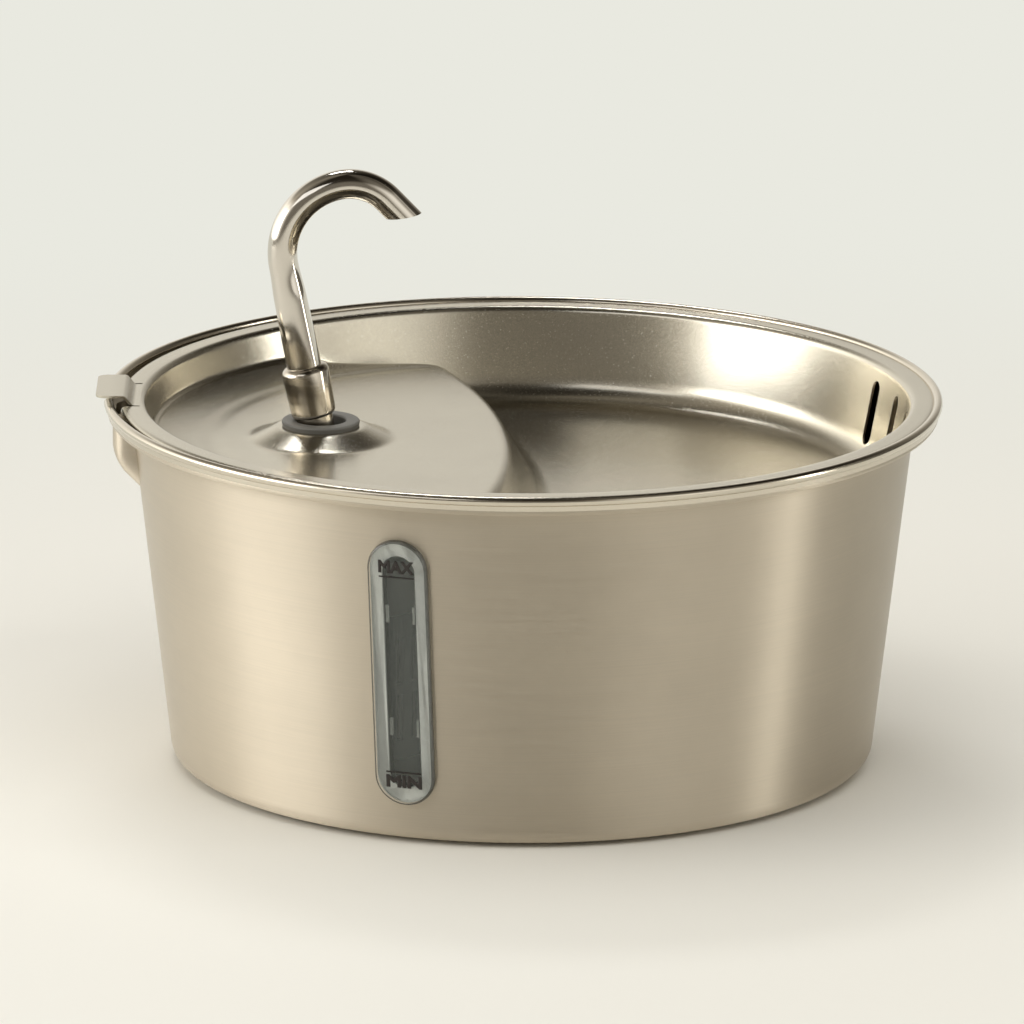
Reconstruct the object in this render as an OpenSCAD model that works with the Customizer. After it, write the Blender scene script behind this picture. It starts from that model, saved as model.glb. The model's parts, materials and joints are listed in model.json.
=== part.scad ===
// Pet water fountain: round stainless tub, lift-off pressed tray with a gooseneck
// spout, and a submerged pump and filter unit. Millimetres. Origin at the middle of
// the footprint on the floor; the lift tab is at the -X side, the drain slots at the +X
// side, +Z is up.

/* [Tub] */
// turn of the lift tab, the cord channel and the drain slots from the X axis, in degrees
lift_turn = -4;             // [-10:0.5:10]
// height of the steel base above the floor, set by the pads under it
foot_gap = 1;               // [0.6:0.1:2]
// distance from the foot of the wall to the edge of the pad under the base
foot_inset = 9.6;           // [6:0.1:30]
// height of the tub from its steel base to the top of the rim bead
tub_h = 108;                // [90:1:130]
// outer radius of the wall line where it meets the base
wall_r0 = 102.6;            // [90:0.1:115]
// growth of the wall radius per millimetre of height
wall_slope = 0.1155;        // [0.05:0.0005:0.2]
// thickness of the tub sheet
tub_t = 0.8;                // [0.5:0.05:1.2]
// outer radius of the corner between wall and base
base_fillet = 5;            // [3:0.5:12]
// width of the ledge from the wall to the outside of the rim's band
ledge_w = 7.1;              // [5.5:0.1:10]
// drop from the top of the bead to the underside of the ledge
band_drop = 5.7;            // [4:0.1:9]
// radius of the round bead on the rim
bead_r = 1.4;               // [0.8:0.05:2]
// half width of the cord channel pressed out of the wall
chan_half = 9.5;            // [6:0.5:14]
// distance from the outside of the cord channel to the outside of the rim's band
chan_inset = 1.7;           // [1:0.1:3]
// length of the upright part of the cord channel below the ledge
chan_drop = 13.5;           // [8:0.5:24]
// half width of the notch in the rim above the cord channel
notch_half = 7.6;           // [5:0.1:9]

/* [Water window] */
// direction of the window around the tub, in degrees from +X
win_az = -112.2;            // [-180:0.1:180]
// height of the middle of the window above the floor
win_z = 53;                 // [40:0.5:65]
// length of the window plate
win_len = 81;               // [60:0.5:90]
// width of the window plate
win_w = 18;                 // [12:0.5:24]
// height of the window plate's rim above and below the clear slot
win_end = 5;                // [3:0.1:9]
// width of the window plate's rim beside the clear slot
win_side = 4.1;             // [3.4:0.1:6]
// height of the window screws above and below the middle
win_screw_dz = 17.3;        // [10:0.1:30]

/* [Tray] */
// thickness of the tray sheet
tray_t = 0.7;               // [0.5:0.05:1]
// drop from the top of the bead to the tray's flange
flange_drop = 0.9;          // [0.3:0.1:2]
// width of the tray's flange, from the skirt to the dish wall
flange_w = 7.4;             // [6:0.1:12]
// clearance between the tray's skirt and the rim's band
skirt_gap = 1.5;            // [0.4:0.1:3]
// radius of the rolled edge between flange and skirt
roll_r = 1.5;               // [0.8:0.1:2]
// growth of the dish wall radius per millimetre of height
dish_slope = 0.2;           // [0.1:0.01:0.5]
// radius of the corner between dish wall and dish floor
dish_fillet = 8;            // [4:0.5:12]
// depth of the dish below the flange
dish_depth = 27.8;          // [20:0.1:32]
// depth of the raised platform below the flange
plat_depth = 11.4;          // [8:0.1:16]
// place of the front edge of the platform along X
plat_x = -5;                // [-20:0.5:10]
// radius of the curved front edge of the platform
plat_edge_r = 280;          // [150:5:400]
// radius of the long sides of the platform
plat_side_r = 92.4;         // [85:0.1:98]
// place of the centre of the long sides along X
plat_side_x = -47.8;        // [-60:0.1:-40]
// radius of the corners of the platform
plat_corner_r = 10;         // [5:1:20]
// sideways run of the slope from the platform to the dish floor
plat_run = 9.5;             // [4:0.5:16]
// radius of the round edge of the platform
plat_round = 3;             // [1.5:0.1:4]
// radius of the hollow where the slope meets the dish floor
plat_hollow = 6;            // [3:0.5:9]
// distance from the dish wall to the shallow crease pressed into the platform
crease_inset = 24.5;        // [14:0.1:30]
// place of the centre of that crease along X
crease_x = -6;              // [-12:0.5:0]
// offset of the spout boss from the stem that passes through it
boss_off = 1.3;             // [0:0.1:1.6]
// height of the boss above the platform
boss_h = 3.6;               // [2:0.1:6]
// radius of the corner at the foot of the boss
boss_foot_r = 21;           // [17:0.5:26]
// radius of the hole for the grommet
boss_hole_r = 8.6;          // [7:0.1:10]
// width of the lift tab
tab_w = 26;                 // [18:0.5:34]
// reach of the lift tab past the skirt
tab_reach = 5.3;            // [4:0.1:12]
// rise of the lift tab above the flange
tab_rise = 2.8;             // [1.5:0.1:4]
// width of one drain slot
drain_w = 5.4;              // [2:0.1:7]
// distance from the flange down to the top of the drain slots
drain_under = 4.4;          // [3.6:0.1:9]
// height of the bottom of the drain slots above the dish floor
drain_over = 4.6;           // [3:0.1:12]
// angle between two drain slots
drain_pitch = 9.7;          // [6:0.1:12]

/* [Spout] */
// offset of the spout's foot, on the pump outlet, from the filter case's centre
foot_off = 2;               // [0:0.1:4]
// height of the spout's foot above the filter cap
foot_over = 5.4;            // [4.5:0.1:6]
// lean of the spout towards the lift tab, in degrees
lean = 11.2;                // [0:0.1:14]
// outer radius of the straight stem
stem_r = 5.3;               // [4:0.1:6]
// outer radius of the tube in the bend
bend_tube_r = 4.35;         // [3.5:0.05:5]
// wall thickness of the tube
tube_t = 0.7;               // [0.5:0.05:1]
// length from the collar's lower end to the start of the bend
tube_len = 45.6;            // [30:0.1:60]
// radius of the first part of the bend
bend1_r = 20.4;             // [14:0.1:26]
// radius of the second part of the bend
bend2_r = 15.5;             // [10:0.1:20]
// sine of the angle at which the bend ends above its own centre
bend_end_sin = 0.5376;      // [0:0.0001:0.9]
// distance from the top of the boss to the lower end of the collar, along the stem
collar_over = 3.15;         // [2:0.05:6]
// length of the collar
collar_len = 15.3;          // [10:0.1:20]
// largest radius of the collar
collar_r = 6.95;            // [6:0.05:8]
// length of the straight mouth after the bend
tail_len = 6.6;             // [4:0.1:10]
// tilt of the cut end of the mouth, in degrees
cut_tilt = 2.5;             // [-10:0.5:20]

/* [Pump and filter] */
// place of the filter case's centre along X
case_x = -57;               // [-62:0.5:-52]
// room between the pump's corners and the wall of its case
case_room = 1.9;            // [1:0.1:4]
// height of the filter case's floor above the floor
case_z = 6.4;               // [5:0.1:10]
// height of the filter case's rim above the pump shaft
case_over = 24;             // [20:0.5:28]
// wall thickness of the plastic parts
case_t = 1.8;               // [1.2:0.1:2.5]
// height of the pump's rubber feet
feet_h = 2.1;               // [1:0.1:4]
// height of the pump's motor part
motor_h = 31;               // [28:0.5:34]
// length of the pump's motor part
motor_l = 24;               // [22:0.5:28]
// width of the pump's motor part
motor_w = 30;               // [27:0.5:34]
// radius of the neck of the cable gland
gland_r = 2.3;              // [1.8:0.1:3]
// radius of the impeller
imp_r = 9.4;                // [7:0.1:10.5]
// radius of the pump shaft
shaft_r = 1.2;              // [0.8:0.1:2]
// number of impeller blades
blades = 6;                 // [4:1:9]
// height of the filter cartridge above the rim of the case
cart_h = 17;                // [13:0.5:18]

/* [Fits] */
// radial clearance of turning and sliding fits
run_gap = 0.08;             // [0.02:0.01:0.1]
// radial clearance of parts that are pressed or snapped together
snug_gap = 0.03;            // [0.01:0.01:0.05]

/* [View] */
// number of segments of a full circle
smooth = 96;                // [48:8:144]

/* [Hidden] */
$fn = smooth;
e = 0.01;
big = 400;
bead_top = foot_gap + tub_h;
bead_z = bead_top - bead_r;
ledge_z = bead_top - band_drop;
ledge_top = ledge_z + tub_t;
draft = atan(wall_slope);
band_r = tenth(wall_r(ledge_z)) + ledge_w;
chan_reach = band_r - chan_inset;
floor_in = foot_gap + tub_t;
slot_len = win_len - 2 * win_end;
slot_w = win_w - 2 * win_side;
flange_z = bead_top - flange_drop;
skirt_r = band_r - tub_t - skirt_gap;
dish_draft = atan(dish_slope);
dish_z = flange_z - dish_depth;
dish_r = tenth(skirt_r - flange_w - dish_slope * dish_depth);
plat_z = flange_z - plat_depth;
plat_drop = plat_z - dish_z;
// the corner arc stands out by this much past the edges it joins, so that it crosses them
corner_over = 0.22;
crease_r = dish_wall(plat_z) - crease_inset;
tab_end = -skirt_r - tab_reach;
tab_foot = 4.8 - skirt_r;
drain_top = flange_z - drain_under;
drain_low = dish_z + drain_over;
motor_x = 5.5 + motor_l / 2;
case_in = tenth(norm([motor_x + motor_l / 2 - foot_off - 3, motor_w / 2 - 3]) + 3 + case_room);
case_r = case_in + case_t;
foot_x = case_x + foot_off;
shaft_z = case_z + 2 + feet_h + motor_h / 2;
case_top = shaft_z + case_over;
cap_top = case_top + cart_h;
foot_z = cap_top + foot_over;
boss_z = plat_z + boss_h;
boss_x = tenth(foot_x - (boss_z - foot_z) * tan(lean) + boss_off);
collar_low = tenth((boss_z - foot_z) / cos(lean) + collar_over);
bend_start = collar_low + tube_len;
neck_z = bend_start - 10.6;
neck_r = bend_tube_r + 0.5;
tail_dir = asin(bend_end_sin);
spigot_r = stem_r - 0.2;
spigot_low = collar_low + 5.6;
sleeve_r = stem_r + 2.3;
volute_r = imp_r + 3.6;
basket_low = case_top;
hole_r = 12;
gland_x = foot_x - 24.4;
gland_y = 9.8;

// length rounded to a tenth of a millimetre
function tenth(v) = round(v * 10) / 10;
// outer radius of the tub wall at height z above the floor
function wall_r(z) = wall_r0 + wall_slope * (z - foot_gap);
// radius of the dish wall's upper face at height z above the floor
function dish_wall(z) = dish_r + dish_slope * (z - dish_z);
// unit vector at angle a
function dir(a) = [cos(a), sin(a)];

// disc that rounds a corner, with a hair of overlap so that the outline always closes
module corner(c, r) {
    translate(c) circle(r + 0.002);
}

// plan of a plate with round ends, long side along the second axis
module stadium(len, w) {
    square([w, len - w], center = true);
    for (s = [-1, 1]) translate([0, s * (len - w) / 2]) circle(d = w);
}

// plan of a rectangle with round corners
module round_rect(x, y, r) {
    square([x - 2 * r, y], center = true);
    square([x, y - 2 * r], center = true);
    for (i = [-1, 1], j = [-1, 1]) translate([i * (x / 2 - r), j * (y / 2 - r)]) circle(r);
}

// upright cylinder between two heights
module post(x, y, r, z0, z1) {
    translate([x, y, z0]) cylinder(r = r, h = z1 - z0);
}

// cylinder along X between two places
module rod(x0, x1, r, y = 0, z = 0) {
    translate([x0, y, z]) rotate([0, 90, 0]) cylinder(r = r, h = x1 - x0);
}

// ---------------------------------------------------------------- tub

// section of all that lies within the tub's outer face (g = 0) or inner face (g = tub_t)
module tub_fill(g, top) {
    n = dir(-draft);
    zc = foot_gap + base_fillet;
    pz = zc + base_fillet * n[1];
    c = [wall_r(pz) - base_fillet * n[0], zc];
    ri = 1.2;
    z2 = ledge_z - ri - ri * n[1];
    c2 = [wall_r(z2) + ri * n[0], ledge_z - ri];
    ro = 2 * tub_t;
    c3 = [band_r - ro, ledge_z + ro];
    difference() {
        polygon([[0, foot_gap + g], [c[0], foot_gap + g], c + (base_fillet - g) * n,
            c2 - (ri + g) * n, [c2[0], ledge_z + g], [c3[0], ledge_z + g],
            [band_r - g, c3[1]], [band_r - g, top], [0, top]]);
        corner(c2, ri + g);
    }
    corner(c, base_fillet - g);
    corner(c3, ro - g);
}

// section of the tub sheet with its round bead
module tub_section() {
    difference() {
        tub_fill(0, bead_z);
        tub_fill(tub_t, bead_z + 9);
    }
    translate([band_r - tub_t / 2, bead_z]) circle(bead_r);
}

// room inside the tub wall, up to the ledge
module tub_room() {
    translate([0, 0, floor_in + 2])
        cylinder(r1 = wall_r(floor_in + 2) - tub_t / cos(draft),
            r2 = wall_r(ledge_top + 2) - tub_t / cos(draft), h = ledge_top - floor_in);
}

// cord channel as a solid, grown by g; its lower end slopes back into the wall
module channel(g) {
    r = 5;
    low = ledge_z - chan_drop;
    difference() {
        translate([-(chan_reach + 100) / 2, 0, low - 12])
            linear_extrude(ledge_top + 18 - low)
                round_rect(chan_reach - 100 + 2 * g, 2 * (chan_half + g), r + g);
        translate([-chan_reach - g, 0, low - g * 0.4]) rotate([0, 45, 0])
            translate([-30, -20, -30]) cube([60, 40, 30]);
    }
}

module tub() {
    color([0.74, 0.71, 0.65])
    difference() {
        union() {
            rotate_extrude() tub_section();
            rotate(lift_turn) intersection() {
                difference() {
                    channel(0);
                    tub_room();
                }
                translate([-big / 2, -50, 0]) cube([big, 100, ledge_z + 0.7 * tub_t]);
            }
        }
        rotate(lift_turn) {
            channel(-tub_t);
            translate([-band_r - 5, -notch_half, ledge_top + 0.15])
                cube([12, 2 * notch_half, bead_top]);
        }
        window_place() rotate([0, 90, 0]) translate([0, 0, -6])
            linear_extrude(12) rotate(90) stadium(slot_len + 1.4, slot_w + 1.4);
        window_screw_places() rod(-6, 6, 1.05);
    }
}

module foot_pad() {
    r = wall_r0 - foot_inset;
    color([0.2, 0.2, 0.21])
    difference() {
        post(0, 0, r, 0, foot_gap);
        for (i = [1:4]) rotate_extrude() translate([r * (i + 0.7) / 5.2, -e])
            square([3, 0.4 * foot_gap + e]);
    }
}

// ---------------------------------------------------------------- water window

// puts children in the window's frame: x outwards, y across, z up the wall
module window_place() {
    rotate(win_az) translate([wall_r(win_z), 0, win_z]) rotate([0, draft, 0]) children();
}

// puts children at the four window screws
module window_screw_places() {
    for (i = [-1, 1], j = [-1, 1])
        window_place() translate([0, i * (slot_w + win_side + 0.1) / 2, j * win_screw_dz])
            children();
}

// upright plate in the window's frame with the plan of a stadium
module window_plate(len, w, x0, x1) {
    window_place() translate([x0, 0, 0]) rotate([0, 90, 0])
        linear_extrude(x1 - x0) rotate(90) stadium(len, w);
}

// solid inside the outer face of the tub wall, grown by g
module wall_solid(g) {
    cylinder(r1 = wall_r(0) + g, r2 = wall_r(bead_top) + g, h = bead_top, $fn = 240);
}

module window_gasket() {
    color([0.55, 0.6, 0.63])
    difference() {
        window_plate(win_len - 0.8, win_w - 0.8, -2, 1);
        wall_solid(0);
        window_plate(slot_len, slot_w, -9, 9);
        window_screw_places() rod(-6, 6, 1.05);
    }
}

module window_lens() {
    color([0.85, 0.9, 0.92, 0.45])
    difference() {
        union() {
            window_plate(win_len, win_w, 1, 2);
            window_plate(win_len - 1, win_w - 1, 1.5, 2.5);
            window_plate(slot_len - 0.6, slot_w - 0.6, -2.2, 1.5);
        }
        window_screw_places() rod(-6, 1.8, 0.9);
    }
}

module window_frame() {
    color([0.3, 0.31, 0.32])
    difference() {
        intersection() {
            window_plate(win_len - 1, win_w - 1, -3.4, 2);
            wall_solid(-tub_t / cos(draft) - 0.02);
        }
        window_plate(slot_len + 0.4, slot_w + 0.4, -9, 9);
        window_screw_places() rod(-9, 6, 1.05);
    }
}

module window_screws() {
    color([0.8, 0.8, 0.8])
    window_screw_places() {
        difference() {
            rod(-4.6, -3.4, 1.7);
            rod(-4.7, -4.1, 0.7);
        }
        rod(-3.5, 1.6, 0.87);
    }
}

// ---------------------------------------------------------------- tray

// section of all that lies under the tray's upper face (g = 0) or lower face (g = tray_t)
module tray_fill(g) {
    n = dir(-dish_draft);
    rf = dish_fillet;
    pz = dish_z + rf + rf * n[1];
    c = [dish_wall(pz) - rf * n[0], dish_z + rf];
    rl = 2;
    qz = flange_z - rl - rl * n[1];
    lc = [dish_wall(qz) + rl * n[0], flange_z - rl];
    x = skirt_r - roll_r;
    low = dish_z - 10.3 - g;
    difference() {
        polygon([[0, low], [skirt_r - g, low], [skirt_r - g, flange_z - roll_r],
            [x, flange_z - g], [lc[0], flange_z - g], lc - (rl - g) * n, c + (rf + g) * n,
            [c[0], dish_z - g], [0, dish_z - g]]);
        corner(c, rf + g);
    }
    corner(lc, rl - g);
    corner([x, flange_z - roll_r], roll_r - g);
}

// all that lies under the tray's upper face (g = 0) or lower face (g = tray_t)
module tray_under(g) {
    rotate_extrude() tray_fill(g);
    intersection() {
        platform(g);
        post(0, 0, dish_wall(plat_z) + 3, dish_z - 20, flange_z);
    }
}

// section of a block with a round top edge, a slope and a hollow foot on the dish floor
module slope_section(r, g) {
    a = atan(plat_drop / plat_run);
    low = dish_z - 8;
    steps = 5;
    ct = [r - plat_round * tan(a / 2), plat_z - plat_round];
    cb = [r + plat_run + plat_hollow * tan(a / 2), dish_z + plat_hollow - 0.03];
    edge = [for (i = [0:steps]) ct + (plat_round - g) * dir(90 - a * i / steps)];
    foot = [for (i = [0:steps]) cb - (plat_hollow + g) * dir(90 - a + a * i / steps)];
    polygon(concat([[0, low], [0, plat_z - g]], edge, foot, [[cb[0], low]]));
}

// round block under one arc of the platform's outline; g shrinks it
module platform_arc(x, y, r, g) {
    translate([x, y, 0]) rotate_extrude($fn = r > 200 ? 360 : $fn) slope_section(r, g);
}

// centre of the corner arc that touches both the front edge and the long side
function corner_c() = let (
    a = plat_x - plat_edge_r,
    b = plat_side_x,
    ra = plat_edge_r - plat_corner_r,
    rb = plat_side_r - plat_corner_r,
    d = b - a,
    u = (ra * ra - rb * rb + d * d) / (2 * d))
    [a + u, sqrt(ra * ra - u * u)];

// wedge in plan at the corner arc, between the directions to its two touch points
module corner_wedge() {
    c = corner_c();
    da = c - [plat_x - plat_edge_r, 0];
    db = c - [plat_side_x, 0];
    ua = da / norm(da);
    ub = db / norm(db);
    um = (ua + ub) / norm(ua + ub);
    linear_extrude(big) polygon([c, c + 80 * ua, c + 110 * um, c + 80 * ub]);
}

module platform(g) {
    c = corner_c();
    difference() {
        intersection() {
            platform_arc(plat_x - plat_edge_r, 0, plat_edge_r, g);
            platform_arc(plat_side_x, 0, plat_side_r, g);
        }
        for (m = [0, 1]) mirror([0, m, 0]) difference() {
            corner_wedge();
            platform_arc(c[0], c[1], plat_corner_r + corner_over, g);
        }
        crease(g);
    }
    translate([boss_x, 0, 0]) rotate_extrude() boss_section(g);
}

// shallow crease along the back of the platform
module crease(g) {
    translate([crease_x, 0, plat_z + 5.5]) rotate_extrude() translate([crease_r, 0]) circle(6 + g);
}

// section of the spout boss under the upper face (g = 0) or lower face of the sheet
module boss_section(g) {
    b = 24;
    head = boss_foot_r - (boss_z - plat_z) / tan(b);
    rt = 3;
    rb = 6;
    ct = [head - rt * tan(b / 2), boss_z - rt];
    cb = [boss_foot_r + rb * tan(b / 2), plat_z + rb];
    difference() {
        polygon([[0, plat_z - 4], [0, boss_z - g], [ct[0], boss_z - g], ct + (rt - g) * dir(90 - b),
            cb + (rb + g) * dir(270 - b), [cb[0], plat_z - g], [cb[0], plat_z - 4]]);
        corner(cb, rb + g);
    }
    corner(ct, rt - g);
}

// side view of the lift tab: flange, step up, and free end
module tab_section() {
    z = flange_z - tray_t;
    x0 = tab_foot;
    x1 = x0 - 2.6;
    polygon([[x0 + 1, z], [x0, z], [x1, z + tab_rise], [tab_end, z + tab_rise],
        [tab_end, z + tab_rise + tray_t], [x1 + 0.3, z + tab_rise + tray_t],
        [x0 + 0.3, z + tray_t], [x0 + 1, z + tray_t]]);
}

module tray() {
    color([0.78, 0.76, 0.7])
    difference() {
        union() {
            difference() {
                tray_under(0);
                tray_under(tray_t);
                difference() {
                    post(0, 0, skirt_r + 5, dish_z - 20, ledge_top);
                    post(0, 0, skirt_r - 3, dish_z - 30, bead_top);
                }
                rotate(lift_turn) translate([tab_foot - 29.6, -tab_w / 2 - 1, dish_z])
                    cube([30, tab_w + 2, 40]);
            }
            rotate(lift_turn) intersection() {
                translate([0, tab_w / 2, 0]) rotate([90, 0, 0]) linear_extrude(tab_w) tab_section();
                translate([tab_end + 20, 0, dish_z]) linear_extrude(50) round_rect(40, tab_w, 3);
            }
        }
        rotate(lift_turn) {
            for (m = [-1, 1]) translate([tab_foot - 18, m * (tab_w + 1) / 2 - 0.5, flange_z - 5])
                cube([20, 1, 12]);
            for (i = [-2:2]) rotate(i * drain_pitch) drain_cut();
        }
        post(boss_x, 0, boss_hole_r, plat_z - 5, boss_z + 5);
    }
}

// one drain slot, cut outwards through the dish wall
module drain_cut() {
    zl = drain_low + drain_w / 2;
    zh = drain_top - drain_w / 2;
    x0 = dish_r - 5;
    x1 = skirt_r - 3;
    rod(x0, x1, drain_w / 2, 0, zl);
    rod(x0, x1, drain_w / 2, 0, zh);
    translate([x0, -drain_w / 2, zl]) cube([x1 - x0, drain_w, zh - zl]);
}

module spout_grommet() {
    ri = boss_hole_r - 1.4;
    color([0.45, 0.48, 0.48])
    translate([boss_x, 0, 0]) rotate_extrude() {
        translate([ri, boss_z]) square([3.6, 1.7]);
        translate([ri, boss_z]) square([4.2, 1.1]);
        translate([ri + 3.6, boss_z + 1.1]) circle(0.6);
        translate([ri, boss_z - tray_t - 1]) square([1.4 - snug_gap, tray_t + 2]);
        translate([ri, boss_z - tray_t - 1.6]) square([3.3, 1.6]);
    }
}

// ---------------------------------------------------------------- spout

// puts children in the spout's frame: z runs up the leaning stem
module spout_place() {
    translate([foot_x, 0, foot_z]) rotate([0, -lean, 0]) children();
}

// part of a ring of radius rr and tube radius r between the directions a0 and a1
module ring_part(rr, r, a0, a1) {
    am = (a0 + a1) / 2;
    rotate([90, 0, 0]) intersection() {
        rotate_extrude() translate([rr, 0]) circle(r);
        translate([0, 0, -20]) linear_extrude(40)
            polygon([[0, 0], 50 * dir(a0), 80 * dir(am), 50 * dir(a1)]);
    }
}

// bent end of the tube with radius r, in the spout's frame: two arcs and a straight tail
module bend_path(r, tail) {
    translate([bend1_r, 0, bend_start]) ring_part(bend1_r, r, 90, 180);
    translate([bend1_r, 0, bend_start + bend1_r - bend2_r]) {
        ring_part(bend2_r, r, tail_dir, 90);
        translate([bend2_r * cos(tail_dir), 0, bend2_r * sin(tail_dir)])
            rotate([0, -tail_dir, 0]) translate([0, 0, -tail]) cylinder(r = r, h = tail);
    }
}

// puts children where the mouth is cut, in the spout's frame
module tail_place() {
    translate([bend1_r + bend2_r * cos(tail_dir) + tail_len * bend_end_sin, 0,
        bend_start + bend1_r - bend2_r * (1 - bend_end_sin) - tail_len * cos(tail_dir)]) children();
}

module spout_tube() {
    ri = bend_tube_r - tube_t;
    color([0.82, 0.8, 0.77])
    spout_place() {
        difference() {
            union() {
                translate([0, 0, spigot_low]) cylinder(r = spigot_r, h = 8);
                translate([0, 0, spigot_low + 8])
                    cylinder(r1 = spigot_r - e, r2 = neck_r, h = neck_z - spigot_low - 8);
                translate([0, 0, neck_z]) cylinder(r1 = neck_r, r2 = bend_tube_r, h = 10.6);
                bend_path(bend_tube_r, tail_len + 8);
            }
            translate([0, 0, spigot_low - 1]) cylinder(r = ri, h = bend_start - spigot_low + 1);
            bend_path(ri, tail_len + 9);
            translate([0, 0, spigot_low + 2]) rotate_extrude() translate([spigot_r - 0.9, 0])
                square([1.2, 1.6]);
            tail_place() rotate([0, cut_tilt, 0]) translate([-20, -20, -30]) cube([40, 40, 30]);
        }
    }
}

module spout_collar() {
    lo = collar_low;
    hi = collar_low + collar_len;
    color([0.8, 0.78, 0.74])
    spout_place() difference() {
        rotate_extrude() {
            polygon([[0, lo], [stem_r, lo], [stem_r + 1.25, lo + 1.3], [collar_r, hi - 2.4],
                [collar_r - 2.3, hi - 0.1], [0, hi - 0.1]]);
            corner([stem_r - 0.05, lo + 1.3], 1.3);
            corner([collar_r - 2.3, hi - 2.4], 2.3);
        }
        translate([0, 0, lo - 1]) cylinder(r = stem_r + snug_gap, h = 1 + spigot_low - 0.4 - lo);
        translate([0, 0, lo]) cylinder(r = spigot_r - 1.1, h = collar_len + 1);
        translate([0, 0, spigot_low]) cylinder(r = spigot_r + run_gap, h = collar_len);
    }
}

module spout_stem() {
    color([0.8, 0.78, 0.74])
    spout_place() difference() {
        translate([0, 0, 3]) cylinder(r = stem_r, h = spigot_low - 0.5 - 3);
        translate([0, 0, 2]) cylinder(r = stem_r - 1.6, h = spigot_low);
    }
}

module spout_seal() {
    color([0.15, 0.15, 0.15])
    spout_place() translate([0, 0, spigot_low + 2.8]) rotate_extrude()
        translate([spigot_r - 0.43, 0]) circle(0.45, $fn = 32);
}

module elbow_sleeve() {
    ro = sleeve_r;
    rb = stem_r + run_gap;
    color([0.85, 0.86, 0.86])
    difference() {
        union() {
            post(foot_x, 0, ro, foot_z - 14, foot_z);
            translate([foot_x, 0, foot_z]) sphere(ro + 0.6);
            spout_place() cylinder(r = ro, h = 14);
        }
        post(foot_x, 0, rb, foot_z - 15, foot_z);
        translate([foot_x, 0, foot_z]) sphere(rb + 0.6);
        spout_place() cylinder(r = stem_r + snug_gap, h = 15);
    }
}

// ---------------------------------------------------------------- filter case and pump

module filter_case() {
    color([0.32, 0.33, 0.34])
    difference() {
        union() {
            post(case_x, 0, case_r, case_z, case_top);
            post(case_x, 0, case_r - 1, case_top - e, case_top + 2);
        }
        post(case_x, 0, case_in, case_z + 2, case_top + 3);
        for (a = [-75:10:75]) translate([case_x, 0, 0]) rotate(a)
            for (z = [12, 29]) translate([case_in - 2, -1.25, z]) cube([6, 2.5, 14]);
        for (a = [0:90:270]) translate([case_x, 0, 0]) rotate(a)
            post(case_r - 14, 0, 3.1, case_z - 1, case_z + 3);
        translate([case_x - case_r - 1, -4, case_top - 12]) cube([4, 8, 12.1]);
    }
}

module suction_cups() {
    color([0.75, 0.77, 0.78])
    for (a = [0:90:270]) translate([case_x, 0, 0]) rotate(a) translate([case_r - 14, 0, 0])
        rotate_extrude() difference() {
            union() {
                polygon([[0, floor_in + 0.9], [6, floor_in], [9, floor_in], [8.6, floor_in + 0.7],
                    [4.4, case_z - 1.2], [4.4, case_z], [0, case_z]]);
                translate([0, case_z - e]) square([3.05, 2.4]);
                translate([0, case_z + 2.05]) square([4, 0.9]);
            }
            polygon([[-1, floor_in - 1], [6, floor_in - 1], [6, floor_in], [0, floor_in + 0.9],
                [-1, floor_in + 0.9]]);
        }
}

module intake_sponge() {
    color([0.2, 0.22, 0.24])
    intersection() {
        post(case_x, 0, case_in - 0.2, case_z + 2.2, case_top - 4);
        difference() {
            translate([foot_x + 12.8, -40, case_z + 2.2]) cube([40, 80, 50]);
            post(case_x + case_r - 14, 0, 4.6, case_z, case_z + 5.6);
        }
    }
}

// cylinder along the pump's shaft, placed from the outlet
module pump_rod(x0, x1, r) {
    rod(foot_x + x0, foot_x + x1, r, 0, shaft_z);
}

// puts children on the pump's shaft under the outlet
module pump_place() {
    translate([foot_x, 0, shaft_z]) children();
}

// outline block of the pump's motor part
module motor_block(g) {
    pump_place() translate([-motor_x, 0, g - motor_h / 2]) linear_extrude(motor_h - 2 * g)
        round_rect(motor_l - 2 * g, motor_w - 2 * g, 3);
}

module pump_housing() {
    color([0.14, 0.15, 0.16])
    difference() {
        union() {
            motor_block(0);
            pump_rod(-7, 7, volute_r);
            post(foot_x, 0, stem_r, shaft_z + 6, foot_z - 3);
            post(foot_x, 0, stem_r + 1.7, shaft_z + 6, shaft_z + 18);
        }
        difference() {
            motor_block(1.6);
            pump_rod(-31, -5, 8.4);
            pump_place() translate([-9, -20, -30]) cube([10, 40, 60]);
        }
        pump_rod(-26.6, -5, 7);
        pump_rod(-5.6, 8, imp_r + 2);
        post(foot_x, 0, stem_r - 1.7, shaft_z, foot_z);
        post(gland_x, gland_y, gland_r + snug_gap, shaft_z + 12, shaft_z + 16);
    }
}

module pump_cover() {
    color([0.18, 0.19, 0.2])
    difference() {
        union() {
            pump_rod(7, 9, volute_r);
            difference() {
                pump_rod(4, 7.1, imp_r + 2 - snug_gap);
                pump_rod(3, 7, imp_r + 0.5);
            }
            pump_rod(3.8, 7.1, 3.6);
            pump_place() {
                for (s = [-1, 1]) {
                    translate([8.9, s * 8.6 - 0.8, -8.8]) cube([2.6, 1.6, 17.6]);
                    translate([10.8, s * 8 - 1.4, -8.8]) cube([0.8, 2.8, 17.6]);
                }
                translate([8.9, -7, -9.4]) cube([1.6, 14, 1]);
            }
        }
        for (a = [15:30:345]) pump_place() rotate([a, 0, 0])
            translate([6, -0.7, 4.8]) cube([4, 1.4, 4.6]);
        pump_rod(3, 7.8, shaft_r + 1.25);
    }
}

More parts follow.
